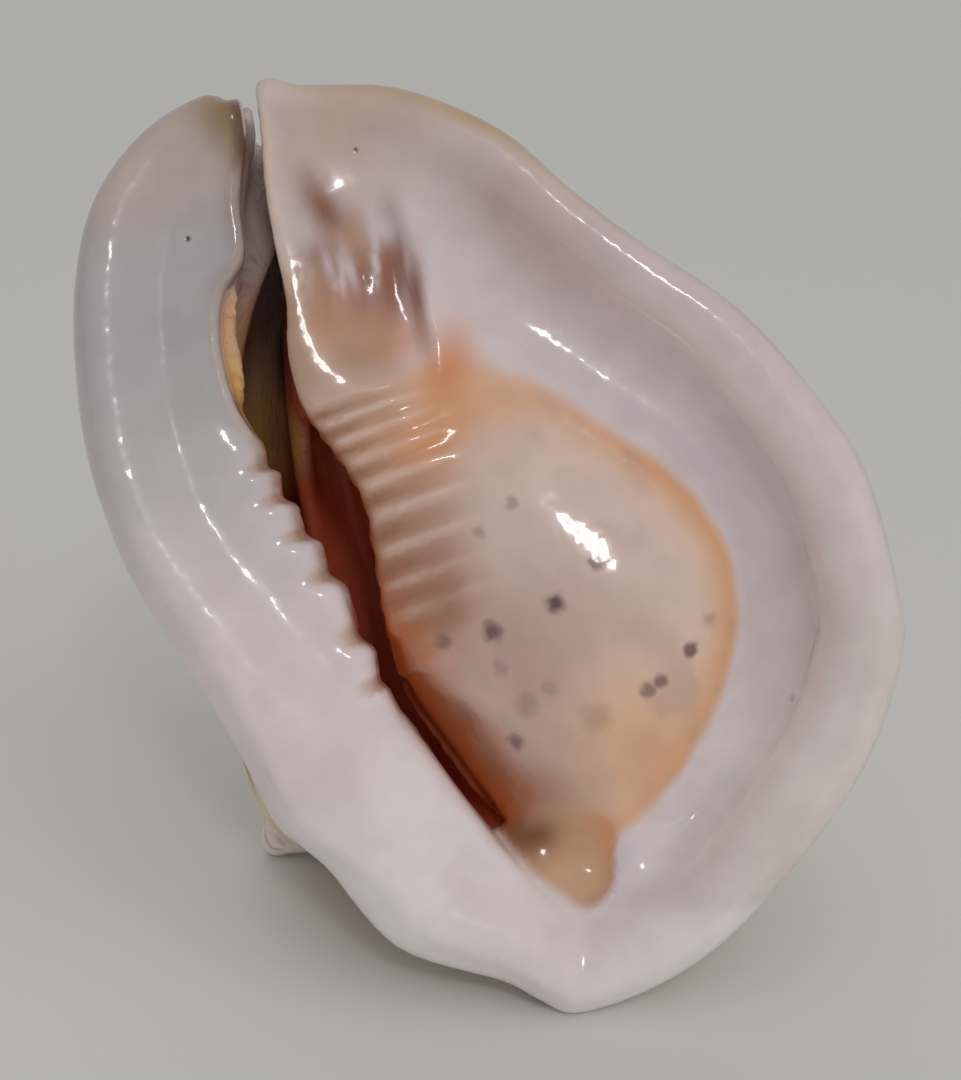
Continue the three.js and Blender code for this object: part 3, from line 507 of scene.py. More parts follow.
def coil_at(u, v, w):
    """Whorls, horns and knobs as one solid, and the hollow inside the last whorl."""
    across = np.hypot(u - AXIS_U, w - AXIS_W)
    age = age_at(u, w)
    taper = body_taper(v)
    row_wave = sum(np.exp(-(((v - row) / KNOB_LENGTH) ** 2)) for row in KNOB_ROWS)
    knob = KNOB_HEIGHT * row_wave * (0.5 + 0.5 * np.cos(KNOBS_PER_TURN * age))
    rod_radius = mix(*ROD_RADII, ease(*ROD_NARROWS, v))
    solid = meet(across - rod_radius, np.abs(v - ROD_MIDDLE) - ROD_HALF, ROD_ROUNDING)
    hollow = np.full(solid.shape, np.inf)
    base_radius = whorl_radius(age)
    for n in range(WHORLS - 1, -2, -1):
        back = age + n * TURN
        merging = mix(1, 1 / GROWTH, ease(MERGES_FROM, PAST_LIP, back))
        radius = base_radius * GROWTH ** -n * merging
        bump = knob * within(KNOBS, back) if n == 0 else 0
        whorl = whorl_field(radius, across, v, taper, bump)
        present = back >= PAST_LIP
        if n <= 1:
            closing = ease(*HOLLOW_ENDS, back) + ease(*HOLLOW_STARTS, back)
            inner = whorl_field(radius, across, v, taper, 0) + WALL + CLOSED_WALL * closing
            inner = np.minimum(hollow, meet(inner, -solid, HOLLOW_ROUNDING))
            hollow = np.where(present, inner, hollow)
        solid = np.where(present, join(solid, whorl, WHORL_FILLET), solid)
    for root, tip, fillet in horns:
        reach = np.abs(u - root[0]) + np.abs(v - root[1]) + np.abs(w - root[2])
        near = reach < HORN_REACH
        if near.any():
            solid = np.where(near, join(solid, cone_field(root, tip, u, v, w), fillet), solid)
    return solid, hollow


def shell_parts(face, u, v, w):
    """The shell with its spaces filled, and the spaces, both negative inside."""
    body, body_hollow = coil_at(u, v, w)
    past = face.past_lip

    # Body, belly, canal and the plates of lip and shield, cut off at the face
    plate_top = mix(face.lip_top, face.top, ease(*TOP_CHANGES, past))
    half = mix(LIP_THICKNESS, SHIELD_THICKNESS, ease(*THICKNESS_CHANGES, past)) / 2
    plate = meet(np.abs(w - plate_top + half) - half, face.roll - face.depth, PLATE_ROUNDING)
    belly_fill = np.maximum((face.share - 1) * face.belly_radius, BELLY_FLOOR - w)
    canal = canal_field(CANAL_SOLID_FROM, CANAL_SOLID_TO, CANAL_WALL, u, v, w)
    solid = join(body, plate, PLATE_FILLET)
    solid = join(solid, belly_fill, BELLY_FILLET)
    solid = join(solid, canal, CANAL_FILLET)
    under_lip = meet(w - face.lip_top, past, RIM_FILLET)
    solid = meet(solid, np.minimum(under_lip, w - face.top), FACE_ROUNDING)

    # Rolled edge all round
    rolled = np.hypot(face.depth - face.roll, w - face.crest + face.roll) - face.roll
    solid = join(solid, rolled, RIM_FILLET)

    # Hollow of the last whorl, the gap under the lip, the slit and the canal
    shield_roof = face.top - ROOF_THICKNESS
    roof = mix(face.lip_top - LIP_THICKNESS, shield_roof, ease(*ROOF_CHANGES, past))
    room = meet(body_hollow, w - roof, ROOM_ROUNDING)
    half_gap = GAP["height"] / 2
    gap_middle = face.lip_top - LIP_THICKNESS - half_gap
    gap_ends = np.maximum(GAP["from"] - v, v - GAP["to"])
    gap_ends = np.maximum(gap_ends, -past - GAP["reach"])
    gap_ends = np.maximum(gap_ends, past - GAP["overlap"])
    gap_side = np.maximum(gap_ends, body + WALL)
    gap = meet(np.abs(w - gap_middle) - half_gap, gap_side, GAP["rounding"])
    slit_sides = np.maximum(-past, face.past_columella)
    slit = np.maximum(slit_sides, face.slit_floor - w)
    canal_hollow = canal_field(0, len(CANAL) - 1, 0, u, v, w)
    opening = join(room, gap, GAP_FILLET)
    opening = join(opening, canal_hollow, CANAL_MOUTH_FILLET)
    return solid, join(opening, slit, SLIT_FILLET)


def shell_field(face, u, v, w):
    """Negative inside the shell, about the distance to its surface in millimetres."""
    solid, opening = shell_parts(face, u, v, w)
    return meet(solid, -opening, OPENING_ROUNDING)


def grid_line(stretches):
    """Grid places along one axis, from rows of where a stretch starts and its step."""
    coarser = 1
    line = []
    for (start, step), (end, _) in zip(stretches, stretches[1:]):
        count = max(round((end - start) / (step * coarser)), 1)
        line.extend(start + (end - start) * i / count for i in range(count))
    return np.array(line + [stretches[-1][0]])


def sample_field(us, vs, ws):
    """The field at every place of the grid."""
    flat_u, flat_v = np.meshgrid(us, vs, indexing="ij")
    face = Face(flat_u.ravel(), flat_v.ravel())
    values = np.empty((len(us), len(vs), len(ws)), dtype=np.float32)
    count = len(vs)
    for i in range(len(us)):
        row = slice(i * count, (i + 1) * count)
        values[i] = shell_field(face.part(row), us[i], vs[:, None], ws[None, :])
    return values


def corner(values, c):
    """The grid values at corner c of every cell. Bit 0 of c steps along u, 1 along v, 2 along w."""
    ends = [slice(1, None) if (c >> bit) & 1 else slice(None, -1) for bit in range(3)]
    return values[tuple(ends)]


def is_simple(bits):
    """True where the corners of a cell form at most one group inside and one outside."""
    for group in (bits, 255 - bits):
        members = [c for c in range(8) if (group >> c) & 1]
        reached = set(members[:1])
        waiting = list(reached)
        while waiting:
            c = waiting.pop()
            for step in (1, 2, 4):
                other = c ^ step
                if (group >> other) & 1 and other not in reached:
                    reached.add(other)
                    waiting.append(other)
        if len(reached) != len(members):
            return False
    return True


def fill_pinches(values):
    """Fills the corners where two stretches of surface would touch in one cell."""
    simple = np.array([is_simple(bits) for bits in range(256)])
    while True:
        bits = sum((corner(values, c) < 0).astype(np.uint8) << c for c in range(8))
        cells = np.argwhere(~simple[bits])
        if not len(cells):
            return
        for i, j, k in cells:
            block = values[i:i + 2, j:j + 2, k:k + 2]
            outside = np.where(block < 0, np.inf, block)
            place = np.unravel_index(np.argmin(outside), outside.shape)
            if outside[place] < np.inf:
                block[place] = JUST_INSIDE


def surface_of(values, us, vs, ws):
    """Points and quads of the zero surface, one point in each grid cell that it crosses."""
    inside = values < 0
    count_in = sum(corner(inside, c).astype(np.uint8) for c in range(8))
    cells = np.argwhere((count_in > 0) & (count_in < 8))
    number = np.full(count_in.shape, -1, dtype=np.int64)
    number[tuple(cells.T)] = np.arange(len(cells))
    total = np.zeros((len(cells), 3))
    hits = np.zeros(len(cells))
    lines = (us, vs, ws)
    for a in range(8):
        for bit in range(3):
            if (a >> bit) & 1:
                continue
            low = cells + [(a >> k) & 1 for k in range(3)]
            high = low.copy()
            high[:, bit] += 1
            f0 = values[tuple(low.T)].astype(float)
            f1 = values[tuple(high.T)].astype(float)
            crossed = (f0 < 0) != (f1 < 0)
            t = np.where(crossed, f0 / np.where(crossed, f0 - f1, 1), 0)
            for k in range(3):
                start = lines[k][low[:, k]]
                place = mix(start, lines[k][high[:, k]], t)
                total[:, k] += np.where(crossed, place, 0)
            hits += crossed
    points = total / hits[:, None]
    return points, quads_of(inside, number)


def quads_of(inside, number):
    """A quad round every grid edge whose ends lie on different sides."""
    quads = []
    for axis in range(3):
        one, two = (axis + 1) % 3, (axis + 2) % 3
        low = np.take(inside, range(inside.shape[axis] - 1), axis)
        high = np.take(inside, range(1, inside.shape[axis]), axis)
        edges = np.argwhere(low != high)
        edges = edges[(edges[:, one] > 0) & (edges[:, two] > 0)]
        edges = edges[(edges[:, one] < inside.shape[one] - 1) & (edges[:, two] < inside.shape[two] - 1)]
        around = []
        for back_one, back_two in ((1, 1), (0, 1), (0, 0), (1, 0)):
            cell = edges.copy()
            cell[:, one] -= back_one
            cell[:, two] -= back_two
            around.append(number[tuple(cell.T)])
        quad = np.stack(around, axis=1)
        solid_below = inside[tuple(edges.T)]
        quads.append(np.where(solid_below[:, None], quad, quad[:, ::-1]))
    return np.concatenate(quads)


def largest_piece(points, quads):
    """Keeps the piece with the most quads, so no sealed bubble is left inside."""
    label = np.arange(len(points))
    while True:
        lowest = label[quads].min(axis=1)
        new = label.copy()
        for k in range(4):
            np.minimum.at(new, quads[:, k], lowest)
        new = new[new]
        if np.array_equal(new, label):
            break
        label = new
    main = np.bincount(label[quads[:, 0]]).argmax()
    kept = quads[label[quads[:, 0]] == main]
    used, index = np.unique(kept, return_inverse=True)
    return points[used], index.reshape(kept.shape)


def settle(points):
    """Moves each point onto the field's zero surface, and gives the field's slope there."""
    reach = SLOPE_REACH
    slope = np.zeros_like(points)
    for _ in range(2):
        u, v, w = points.T
        face = Face(u, v)
        here = shell_field(face, u, v, w)
        slope = np.stack([
            shell_field(Face(u + reach, v), u + reach, v, w) - here,
            shell_field(Face(u, v + reach), u, v + reach, w) - here,
            shell_field(face, u, v, w + reach) - here,
        ], axis=1) / reach
        steep = (slope ** 2).sum(axis=1)
        move = np.clip(here / np.maximum(steep, LEAST_SLOPE), -LARGEST_MOVE, LARGEST_MOVE)
        points = points - move[:, None] * slope
    return points, slope / np.linalg.norm(slope, axis=1, keepdims=True).clip(1e-6)


def make_surface():
    us, vs, ws = grid_line(STEP_U), grid_line(STEP_V), grid_line(STEP_W)
    values = sample_field(us, vs, ws)
    fill_pinches(values)
    points, quads = largest_piece(*surface_of(values, us, vs, ws))
    points, normals = settle(points)
    return points, quads, normals


def pose():
    """Turns shell coordinates in millimetres into the resting pose in metres."""
    cr, sr = math.cos(AXIS_ROLL), math.sin(AXIS_ROLL)
    cl, sl = math.cos(FACE_LEAN), math.sin(FACE_LEAN)
    turn = Matrix(((cr, -sr, 0, -CENTRE_X), (sr * sl, cr * sl, -cl, -CENTRE_Y),
                   (sr * cl, cr * cl, sl, -FLOOR_HEIGHT), (0, 0, 0, 1)))
    return Matrix.Scale(MM, 4) @ turn


def posed(points):
    matrix = np.array(pose())
    placed = points @ matrix[:3, :3].T + matrix[:3, 3]
    placed[:, 2] = np.maximum(placed[:, 2], 0)
    return placed


def noise(points, size, seed):
    """Smooth noise from -1 to 1 with lumps about size across."""
    table = np.random.default_rng(seed).uniform(-1, 1, (NOISE_TABLE,) * 3)
    scaled = points / size + NOISE_TABLE / 2
    low = np.floor(scaled).astype(int)
    t = scaled - low
    t = t * t * (3 - 2 * t)
    total = 0
    for c in range(8):
        bits = np.array([(c >> k) & 1 for k in range(3)])
        weight = np.prod(np.where(bits, t, 1 - t), axis=1)
        total = total + weight * table[tuple(((low + bits) % NOISE_TABLE).T)]
    return total


def linear(colour):
    """A colour written as 0 to 255 turned into linear values."""
    c = np.array(colour) / 255
    return np.where(c <= 0.04045, c / 12.92, ((c + 0.055) / 1.055) ** 2.4)


# Colours of the shell, 0 to 255
PORCELAIN = (240, 226, 226)
WHITE = (253, 244, 243)
LILAC_WHITE = (238, 226, 238)
ROSE = (224, 200, 199)
SAND = (214, 187, 170)
LIP_GREY_AND_SHADE = (182, 178, 182)
LIP_TAN = (152, 120, 82)
NOTCH_SHADE_AND_TAN = (206, 172, 148)
EDGE_CREAM = (222, 212, 194)
EDGE_TAN = (200, 168, 120)
DARK_BROWN = (92, 58, 42)
BELLY_PINK = (238, 210, 198)
BELLY_BROWN = (172, 116, 82)
PEACH = (246, 204, 166)
APRICOT = (236, 150, 84)
ORANGE = (222, 118, 56)
MAUVE = (203, 164, 152)
OLIVE = (134, 80, 24)
TAN = (222, 176, 136)
MAROON = (206, 104, 54)
RUST = (188, 108, 58)
FOLD_PINK = (204, 156, 132)
FOLD_LIGHT = (242, 214, 200)
FOLD_SHADE = (168, 110, 76)
COLUMELLA_TAN = (184, 142, 106)
FAN_RED = (168, 106, 82)
FAN_MAUVE = (182, 144, 142)
FAN_WHITE = (236, 222, 228)
PATCH_BROWN = (146, 96, 76)
HOLLOW_RED = (232, 120, 74)
HOLLOW_DARK = (216, 98, 66)
SLIT_OCHRE = (255, 206, 130)
SLIT_PEACH = (238, 198, 158)
SLIT_GREY = (226, 214, 212)
SLIT_SHADE_BROWN = (134, 94, 80)
SPOT_PURPLE = (118, 80, 84)
BACK_CREAM = (234, 214, 184)
BACK_GREY = (204, 192, 176)
BACK_BROWN = (156, 98, 58)

# Soft patches of colour: where each lies, how far it reaches across and along, its lean
# in degrees, its strength, and how far its outline wanders
Patch = namedtuple("Patch", "colour u v across along lean strength wander", defaults=(0, 1, 1))

# Purple-brown spots on the belly: u, v, radius and strength
SPOTS = [
    (6.4, 103.2, 2.5, 0.9), (-6.7, 104.9, 2.3, 0.6), (24.2, 104.7, 2.4, 1.0),
    (37.6, 110.9, 2.0, 0.8), (53, 81, 2.0, 0.9), (43, 76.3, 1.9, 0.8), (39.2, 75.6, 2.1, 0.7),
    (2.3, 73.4, 2.3, 0.8), (8.3, 82.3, 3.0, 0.3), (23.9, 73.3, 4.0, 0.3), (-7.4, 85.5, 3.0, 0.3),
    (22.5, 132.7, 1.8, 0.4), (12.1, 128.5, 1.6, 0.35), (60.4, 86.3, 2.2, 0.35),
    (15.5, 84.5, 2.2, 0.25), (5.2, 93.5, 2.0, 0.3),
]
SPOT_FADES = (1.6, 0.3)
SPOT_RAGGEDNESS = (3.2, 3.2, 1)

# Small dark holes and a chip in the glaze: u, v, radius and strength
PINHOLES = [
    (-33.1, 226.3, 0.7, 1.0), (15.9, 233.1, 0.6, 0.8), (-17.6, 18.6, 0.7, 0.7),
    (-9.8, 15.8, 0.6, 0.7), (76.5, 57.4, 1.5, 0.5),
]

# Pale ring round the belly, a painted sheen, as shares of its radius, and the tongue of glaze.
# A turn sets the side of the belly that a colour keeps to.
SHEEN_RING = {"middle": 1.17, "width": 0.14, "turn": 40 * DEG}
BORDER_TURN = 25 * DEG
TONGUE = {"u": 4.5, "v": 41, "half_width": 13.5, "half_length": 17}

# The back: rows of blotches along v, bars round the rim, and heights of the relief
BLOTCH_ROWS = (66, *KNOB_ROWS, 176)
BLOTCH_ROW_LENGTH = 11
RIM_BARS = 11
RIM_BARS_CENTRE = (12, 125)
RIDGE_HEIGHT = 0.45
WAVE_HEIGHT = 0.1


class Paint:
    """Colour of every point, built up in layers."""

    def __init__(self, at, colour):
        self.at = at
        self.colour = np.tile(linear(colour), (len(at.points), 1))

    def add(self, colour, amount):
        share = np.clip(amount, 0, 1)[:, None]
        self.colour = mix(self.colour, linear(colour), share)

    def lay(self, area, rows):
        """Lays soft patches of colour on an area, in order. Each row holds a Patch."""
        for patch in (Patch(*row) for row in rows):
            self.add(patch.colour, area * self.at.blob(patch) * patch.strength)


class Surface:
    """Where each point of the surface lies, as the paint needs it."""

    def __init__(self, points, normals):
        self.points = points
        self.u, self.v, self.w = points.T
        self.soft = noise(points, 22, 1)
        self.small = noise(points, 7, 2)
        self.warp_u = self.u + 1.6 * self.small + 2.5 * self.soft
        self.warp_v = self.v + 1.6 * noise(points, 9, 3) + 2.5 * noise(points, 24, 4)
        self.face = Face(self.u, self.v)
        level = mix(self.face.lip_top, self.face.top, ease(-1, 1, self.face.past_lip))
        self.below = level - self.w
        opening = shell_parts(self.face, self.u, self.v, self.w)[1]
        self.inside = (1 - ease(0.8, 3, opening)) * ease(4, 9, self.below)
        turned_back = ease(0.05, -0.4, normals[:, 2])
        self.back = np.maximum(turned_back, ease(12, 20, self.below)) * (1 - self.inside)
        on_face = (1 - self.back) * (1 - self.inside)
        self.on_shield = ease(-1, 3, self.face.past_lip) * on_face
        self.on_lip = (1 - ease(-1, 3, self.face.past_lip)) * on_face
        round_axis = age_at(self.u, self.w) * LAST_RADIUS
        from_axis = np.hypot(self.u - AXIS_U, self.w - AXIS_W)
        self.growth = np.stack([round_axis, self.v, from_axis], axis=1)

    def blob(self, patch):
        """1 at a patch's place on the face, fading out over its reach."""
        c, s = math.cos(patch.lean * DEG), math.sin(patch.lean * DEG)
        du = mix(self.u, self.warp_u, patch.wander) - patch.u
        dv = mix(self.v, self.warp_v, patch.wander) - patch.v
        across, along = du * c + dv * s, dv * c - du * s
        return np.exp(-((across / patch.across) ** 2 + (along / patch.along) ** 2))


def paint_shell(at):
    """The colour of every point of the surface. Each layer's last number is its strength."""
    paint = Paint(at, PORCELAIN)
    for layers in (paint_lip, paint_shield, paint_belly, paint_folds, paint_fan,
                   paint_aperture_side, paint_tongue, paint_inside, paint_back):
        layers(paint, at)
    return paint.colour


def paint_lip(paint, at):
    """Lilac grey in front as painted shade and white behind as painted light, with painted shade in tan
    in the notches between the teeth and in dark brown at the lip's front edge.
    """
    lip, past = at.on_lip, at.face.past_lip
    # Painted shade and painted light: grey darkens the lip towards the front and white lightens it
    # towards the back
    paint.add(LIP_GREY_AND_SHADE, lip * ease(110, 215, at.warp_v) * 0.9)
    paint.add(WHITE, lip * ease(120, 50, at.warp_v) * 0.85)
    paint.add(LILAC_WHITE, lip * (0.3 + 0.5 * at.soft) * 0.3)
    paint.add(ROSE, lip * ease(0, 0.9, at.soft) * 0.3)
    paint.add(SAND, lip * ease(222, 248, at.warp_v) * 0.6)
    paint.lay(lip, [(LIP_TAN, -13, 252, 8, 11, 20)])
    paint.add(LIP_TAN, lip * within((214, 246, 8), at.warp_v) * ease(-7, -1, past) * 0.45)
    # Painted shade in dark brown on the lip's front edge, where the slit runs deep beside it
    paint.add(DARK_BROWN, lip * within((240, 256, 4), at.v) * ease(-3.5, -0.5, past) * 0.85)
    # Painted shade in tan in each notch between the teeth; along the lip's edge from v 150 to 214 the
    # same tan is the lip's own colour
    notch_shade = ease(-0.15, -0.8, tooth_wave(at.v + 0.6))
    paint.add(NOTCH_SHADE_AND_TAN, lip * notch_shade * ease(-8, -1, past) * 0.9)
    paint.add(NOTCH_SHADE_AND_TAN, lip * within((150, 214, 10), at.v) * ease(-5, 0, past) * 0.35)


def paint_shield(paint, at):
    """Sandy and rosy in front, a pale ring round the belly as painted sheen, a white patch low at the
    right as painted light, and a tan outer edge.
    """
    shield, depth = at.on_shield, at.face.depth
    paint.lay(shield, [
        (SAND, 22, 240, 42, 22, 0, 0.95), (ROSE, 58, 196, 34, 16, -50, 0.9),
        (SAND, 52, 205, 16, 9, -50, 0.5),
    ])
    # Pale lilac ring round the belly, kept to one side, is a painted sheen
    sheen_ring = np.exp(-(((at.face.share - SHEEN_RING["middle"]) / SHEEN_RING["width"]) ** 2))
    sheen_ring *= ease(-0.9, 0.1, np.cos(at.face.belly_angle + SHEEN_RING["turn"]))
    paint.add(LILAC_WHITE, shield * sheen_ring * (0.5 + 0.3 * at.small))
    # The white patch at u 60, v 46, low at the right, is painted light
    paint.lay(shield, [
        (LILAC_WHITE, 28, 205, 9, 26, 8, 0.3), (WHITE, 60, 46, 30, 24, 0, 0.7),
        (LILAC_WHITE, 4, 14, 30, 13, 0, 0.8), (EDGE_CREAM, 62, 26, 30, 12, 40, 0.6),
        (EDGE_CREAM, 98, 60, 12, 30, 0, 0.35),
    ])
    paint.add(ROSE, shield * ease(16, 4, depth) * within((120, 215, 15), at.v) * 0.45)
    paint.lay(shield * ease(7, 1, depth), [(EDGE_TAN, 48, 228, 24, 14, -35, 0.95)])
    paint.add(EDGE_TAN, shield * ease(3.5, 0, depth) * (0.35 + 0.5 * at.soft))


def paint_belly(paint, at):
    """Pink in the middle, apricot towards the border, mauve and brown at the left."""
    shield = at.on_shield
    edge = at.face.share + 0.015 * at.soft + 0.012 * at.small
    callus = shield * ease(1.03, 0.94, edge) * ease(1, 10, at.face.past_lip)
    paint.add(BELLY_PINK, callus * 0.95)
    right = ease(-0.5, 0.6, np.cos(at.face.belly_angle + BORDER_TURN))
    paint.add(PEACH, callus * ease(0.66, 0.98, edge) * mix(0.45, 1.0, right))
    paint.add(APRICOT, callus * ease(0.78, 0.98, edge) * mix(0.1, 0.45, right))
    paint.lay(callus, [
        (PEACH, 32, 66, 24, 20, 0, 0.95), (APRICOT, 34, 58, 16, 11, 0, 0.38),
        (MAUVE, 6, 84, 15, 26, -8, 0.75), (MAUVE, 22, 100, 26, 16, 0, 0.35),
    ])
    paint.add(FAN_MAUVE, callus * ease(0.15, 0.75, at.soft + 0.5 * at.small) * 0.3)
    paint.lay(callus, [(BELLY_BROWN, 2, 58, 12, 9, 0, 0.7)])
    paint.lay(shield, [(APRICOT, 15.5, 167, 14, 7.5, 58), (ORANGE, 14, 164, 12, 5.5, 58, 0.75)])
    paint.lay(callus, [(APRICOT, 24, 160, 18, 6, -20, 0.5)])
    paint.lay(shield * ease(1.05, 0.98, edge), [(PEACH, 20, 158, 18, 12, -20, 0.4)])


def paint_folds(paint, at):
    """Light crests, and painted shade in brown in the valleys, darkest near the columella's edge."""
    edge = at.face.past_columella
    folds = at.on_shield * within((106, 178, 8), at.v)
    paint.add(FOLD_PINK, folds * ease(34, 14, edge) * 0.85)
    paint.lay(folds, [(PEACH, 3, 160, 16, 10, 0, 0.6)])
    paint.add(RUST, folds * within((98, 136, 9), at.v) * ease(13, 2, edge) * 0.75)
    wave = np.cos(TURN * curve_through(FOLD_CRESTS, at.v))
    valley = ease(0.2, -0.9, wave)
    crest = ease(0.35, 0.95, wave) * ease(0, 5, edge) * ease(34, 20, edge)
    # Painted shade in brown in the valleys between the folds, darkest near the columella's edge
    paint.add(FOLD_SHADE, folds * valley * ease(17, 3, edge + 3 * at.small) * 0.85)
    paint.add(FOLD_SHADE, folds * valley * ease(30, 12, edge) * 0.25)
    paint.add(FOLD_LIGHT, folds * crest * 0.75)
    paint.add(RUST, folds * ease(3.5, 0, edge) * 0.45)
    paint.lay(folds, [(APRICOT, 9, 158, 13, 8, 0, 0.5)])
    paint.lay(at.on_shield, [(BELLY_BROWN, -5, 114, 9, 18, -12, 0.75)])


def paint_fan(paint, at):
    """The columella in front of the folds, and the fan-shaped hollow with its ribs."""
    shield, edge = at.on_shield, at.face.past_columella
    front = shield * within((176, 212, 8), at.v) * ease(34, 24, edge)
    paint.add(COLUMELLA_TAN, front * 0.85)
    paint.lay(shield, [(APRICOT, -4, 194, 9, 9, 0, 0.4), (FOLD_LIGHT, -12, 186, 4, 12, 0, 0.25)])
    share = shield * fan_share(at.u, at.v)
    rib = 0.5 + 0.5 * fan_rib(at.u, at.v)
    dark = ease(184, 200, at.v)
    paint.add(FAN_MAUVE, share * dark * 0.7)
    paint.add(FAN_RED, share * dark * (1 - rib) * 0.85)
    paint.lay(shield, [
        (FAN_RED, 13, 199, 3.2, 13, -20, 0.9, 0.2), (FAN_RED, 18.5, 194, 2.2, 11, -20, 0.75, 0.2),
        (FAN_WHITE, -1.2, 209.5, 1.1, 5, -8, 0.9, 0.1),
        (FAN_WHITE, 4.2, 206, 1.1, 6, -8, 0.9, 0.1), (APRICOT, 10, 184, 8, 7, 0, 0.45),
    ])
    paint.add(FAN_WHITE, share * ease(0.8, 1.0, rib) * ease(188, 202, at.v))
    # The white patch at u 16, v 213 is a painted highlight on the shield's bump
    paint.lay(shield, [
        (FAN_WHITE, 16, 213, 6, 4, -20, 0.9, 0.2), (PATCH_BROWN, 3.5, 222, 11, 4.5, -71, 1, 0.3),
        (PATCH_BROWN, -2, 213, 4, 4, 0, 0.5), (TAN, 8.7, 213, 6, 4, -60, 0.5),
    ])
    line = ease(0, 1.2, edge) * ease(4, 1.6, edge) * within((206, 250, 6), at.v)
    paint.add(FOLD_LIGHT, shield * line * 0.8)


def paint_aperture_side(paint, at):
    """Maroon band on the belly's steep side, along the lip's edge."""
    past = at.face.past_lip + 1.2 * at.small
    along = at.on_shield * within((46, 118, 12), at.v)
    fringe = along * ease(22, 9, past)
    band = along * ease(12, 5, past)
    paint.add(RUST, fringe * 0.85)
    paint.add(MAROON, band * 0.97)
    streaks = ease(0.1, 0.6, noise(at.points * (1, 0.35, 1), 2.6, 6))
    paint.add(MAROON, fringe * (1 - band) * streaks * 0.6)


def paint_tongue(paint, at):
    """Tan tongue of glaze at the back end of the belly, olive-brown in its pit."""
    reach = np.hypot((at.warp_u - TONGUE["u"]) / TONGUE["half_width"],
                     (at.warp_v - TONGUE["v"]) / TONGUE["half_length"])
    fades_from = mix(0.55, 0.92, ease(58, 34, at.v))
    tongue = at.on_shield * ease(1.06, fades_from, reach)
    paint.add(TAN, tongue * 0.95)
    paint.lay(tongue, [(APRICOT, 15.5, 42, 4, 9, 0, 0.6)])
    paint.add(BELLY_BROWN, tongue * ease(0.65, 0.98, reach) * ease(44, 30, at.v) * 0.4)
    paint.lay(at.on_shield, [(OLIVE, -3.5, 47, 8.5, 7)])


def paint_inside(paint, at):
    """Red-brown in the hollow, and ochre, peach and grey on the walls of the slit, with painted shade
    in brown on its columella side.
    """
    inside, v, past = at.inside, at.warp_v, at.face.past_lip
    paint.add(HOLLOW_RED, inside)
    paint.add(HOLLOW_DARK, inside * ease(16, 40, at.below) * 0.8)
    lip_wall = inside * ease(12, 6, past)
    paint.add(SLIT_OCHRE, lip_wall * within((164, 198, 8), v) * 0.95)
    paint.add(SLIT_PEACH, lip_wall * within((192, 216, 6), v) * 0.9)
    paint.add(SLIT_GREY, lip_wall * within((212, 275, 6), v) * 0.9)
    # Painted shade in brown on the columella's side of the slit, under the columella's overhang
    columella_wall_shade = inside * ease(3, 7, past) * ease(176, 196, v)
    paint.add(SLIT_SHADE_BROWN, columella_wall_shade * 0.85)


def paint_back(paint, at):
    """Cream and grey, with brown blotches along the growth lines and bars across the rim."""
    back = at.back
    paint.add(BACK_CREAM, back * 0.95)
    along = at.growth * (1, 0.3, 1)
    flames = noise(along, 13, 5) + 0.5 * noise(at.growth, 6, 7)
    paint.add(BACK_GREY, back * ease(0.0, 0.7, noise(at.growth, 30, 8)) * 0.6)
    rows = sum(np.exp(-(((at.v - row) / BLOTCH_ROW_LENGTH) ** 2)) for row in BLOTCH_ROWS)
    paint.add(BACK_BROWN, back * ease(0.25, 0.75, flames + 0.35 * rows) * 0.65)
    round_face = np.arctan2(at.v - RIM_BARS_CENTRE[1], at.u - RIM_BARS_CENTRE[0])
    bars = ease(0.45, 0.85, np.cos(RIM_BARS * round_face) + 0.35 * at.small)
    paint.add(BACK_BROWN, back * bars * ease(15, 6, at.face.depth) * 0.8)
    for _, tip, _ in horns:
        away = np.linalg.norm(at.points - np.array(tip[:3]), axis=1)
        paint.add(WHITE, back * ease(24, 6, away) * 0.9)


def growth_relief(at):
    """Height of the growth ridges on the back and of the faint waves in the glaze."""
    ridges = noise(at.growth * (1, 0.12, 0.3), 4.5, 9)
    waves = noise(at.points, 17, 10)
    glazed = (1 - at.back) * (1 - at.inside)
    return at.back * RIDGE_HEIGHT * ridges + glazed * WAVE_HEIGHT * waves


def make_mesh(name):
    points, quads, normals = make_surface()
    at = Surface(points, normals)
    points = points + normals * growth_relief(at)[:, None]
    mesh = bpy.data.meshes.new(name)
    mesh.from_pydata(posed(points).tolist(), [], quads.tolist(), shade_flat=False)
    mesh.validate()
    tint = np.column_stack([paint_shell(at), np.ones(len(points))])
    add_attribute(mesh, "tint", "FLOAT_COLOR", tint)
    add_attribute(mesh, "rough", "FLOAT", np.maximum(at.back, 0.8 * at.inside))
    add_attribute(mesh, "place", "FLOAT_VECTOR", points)
    add_attribute(mesh, "growth", "FLOAT_VECTOR", at.growth)
    return mesh


def add_attribute(mesh, name, kind, values):
    field = {"FLOAT": "value", "FLOAT_COLOR": "color", "FLOAT_VECTOR": "vector"}[kind]
    attribute = mesh.attributes.new(name, kind, "POINT")
    attribute.data.foreach_set(field, values.astype(np.float32).ravel())


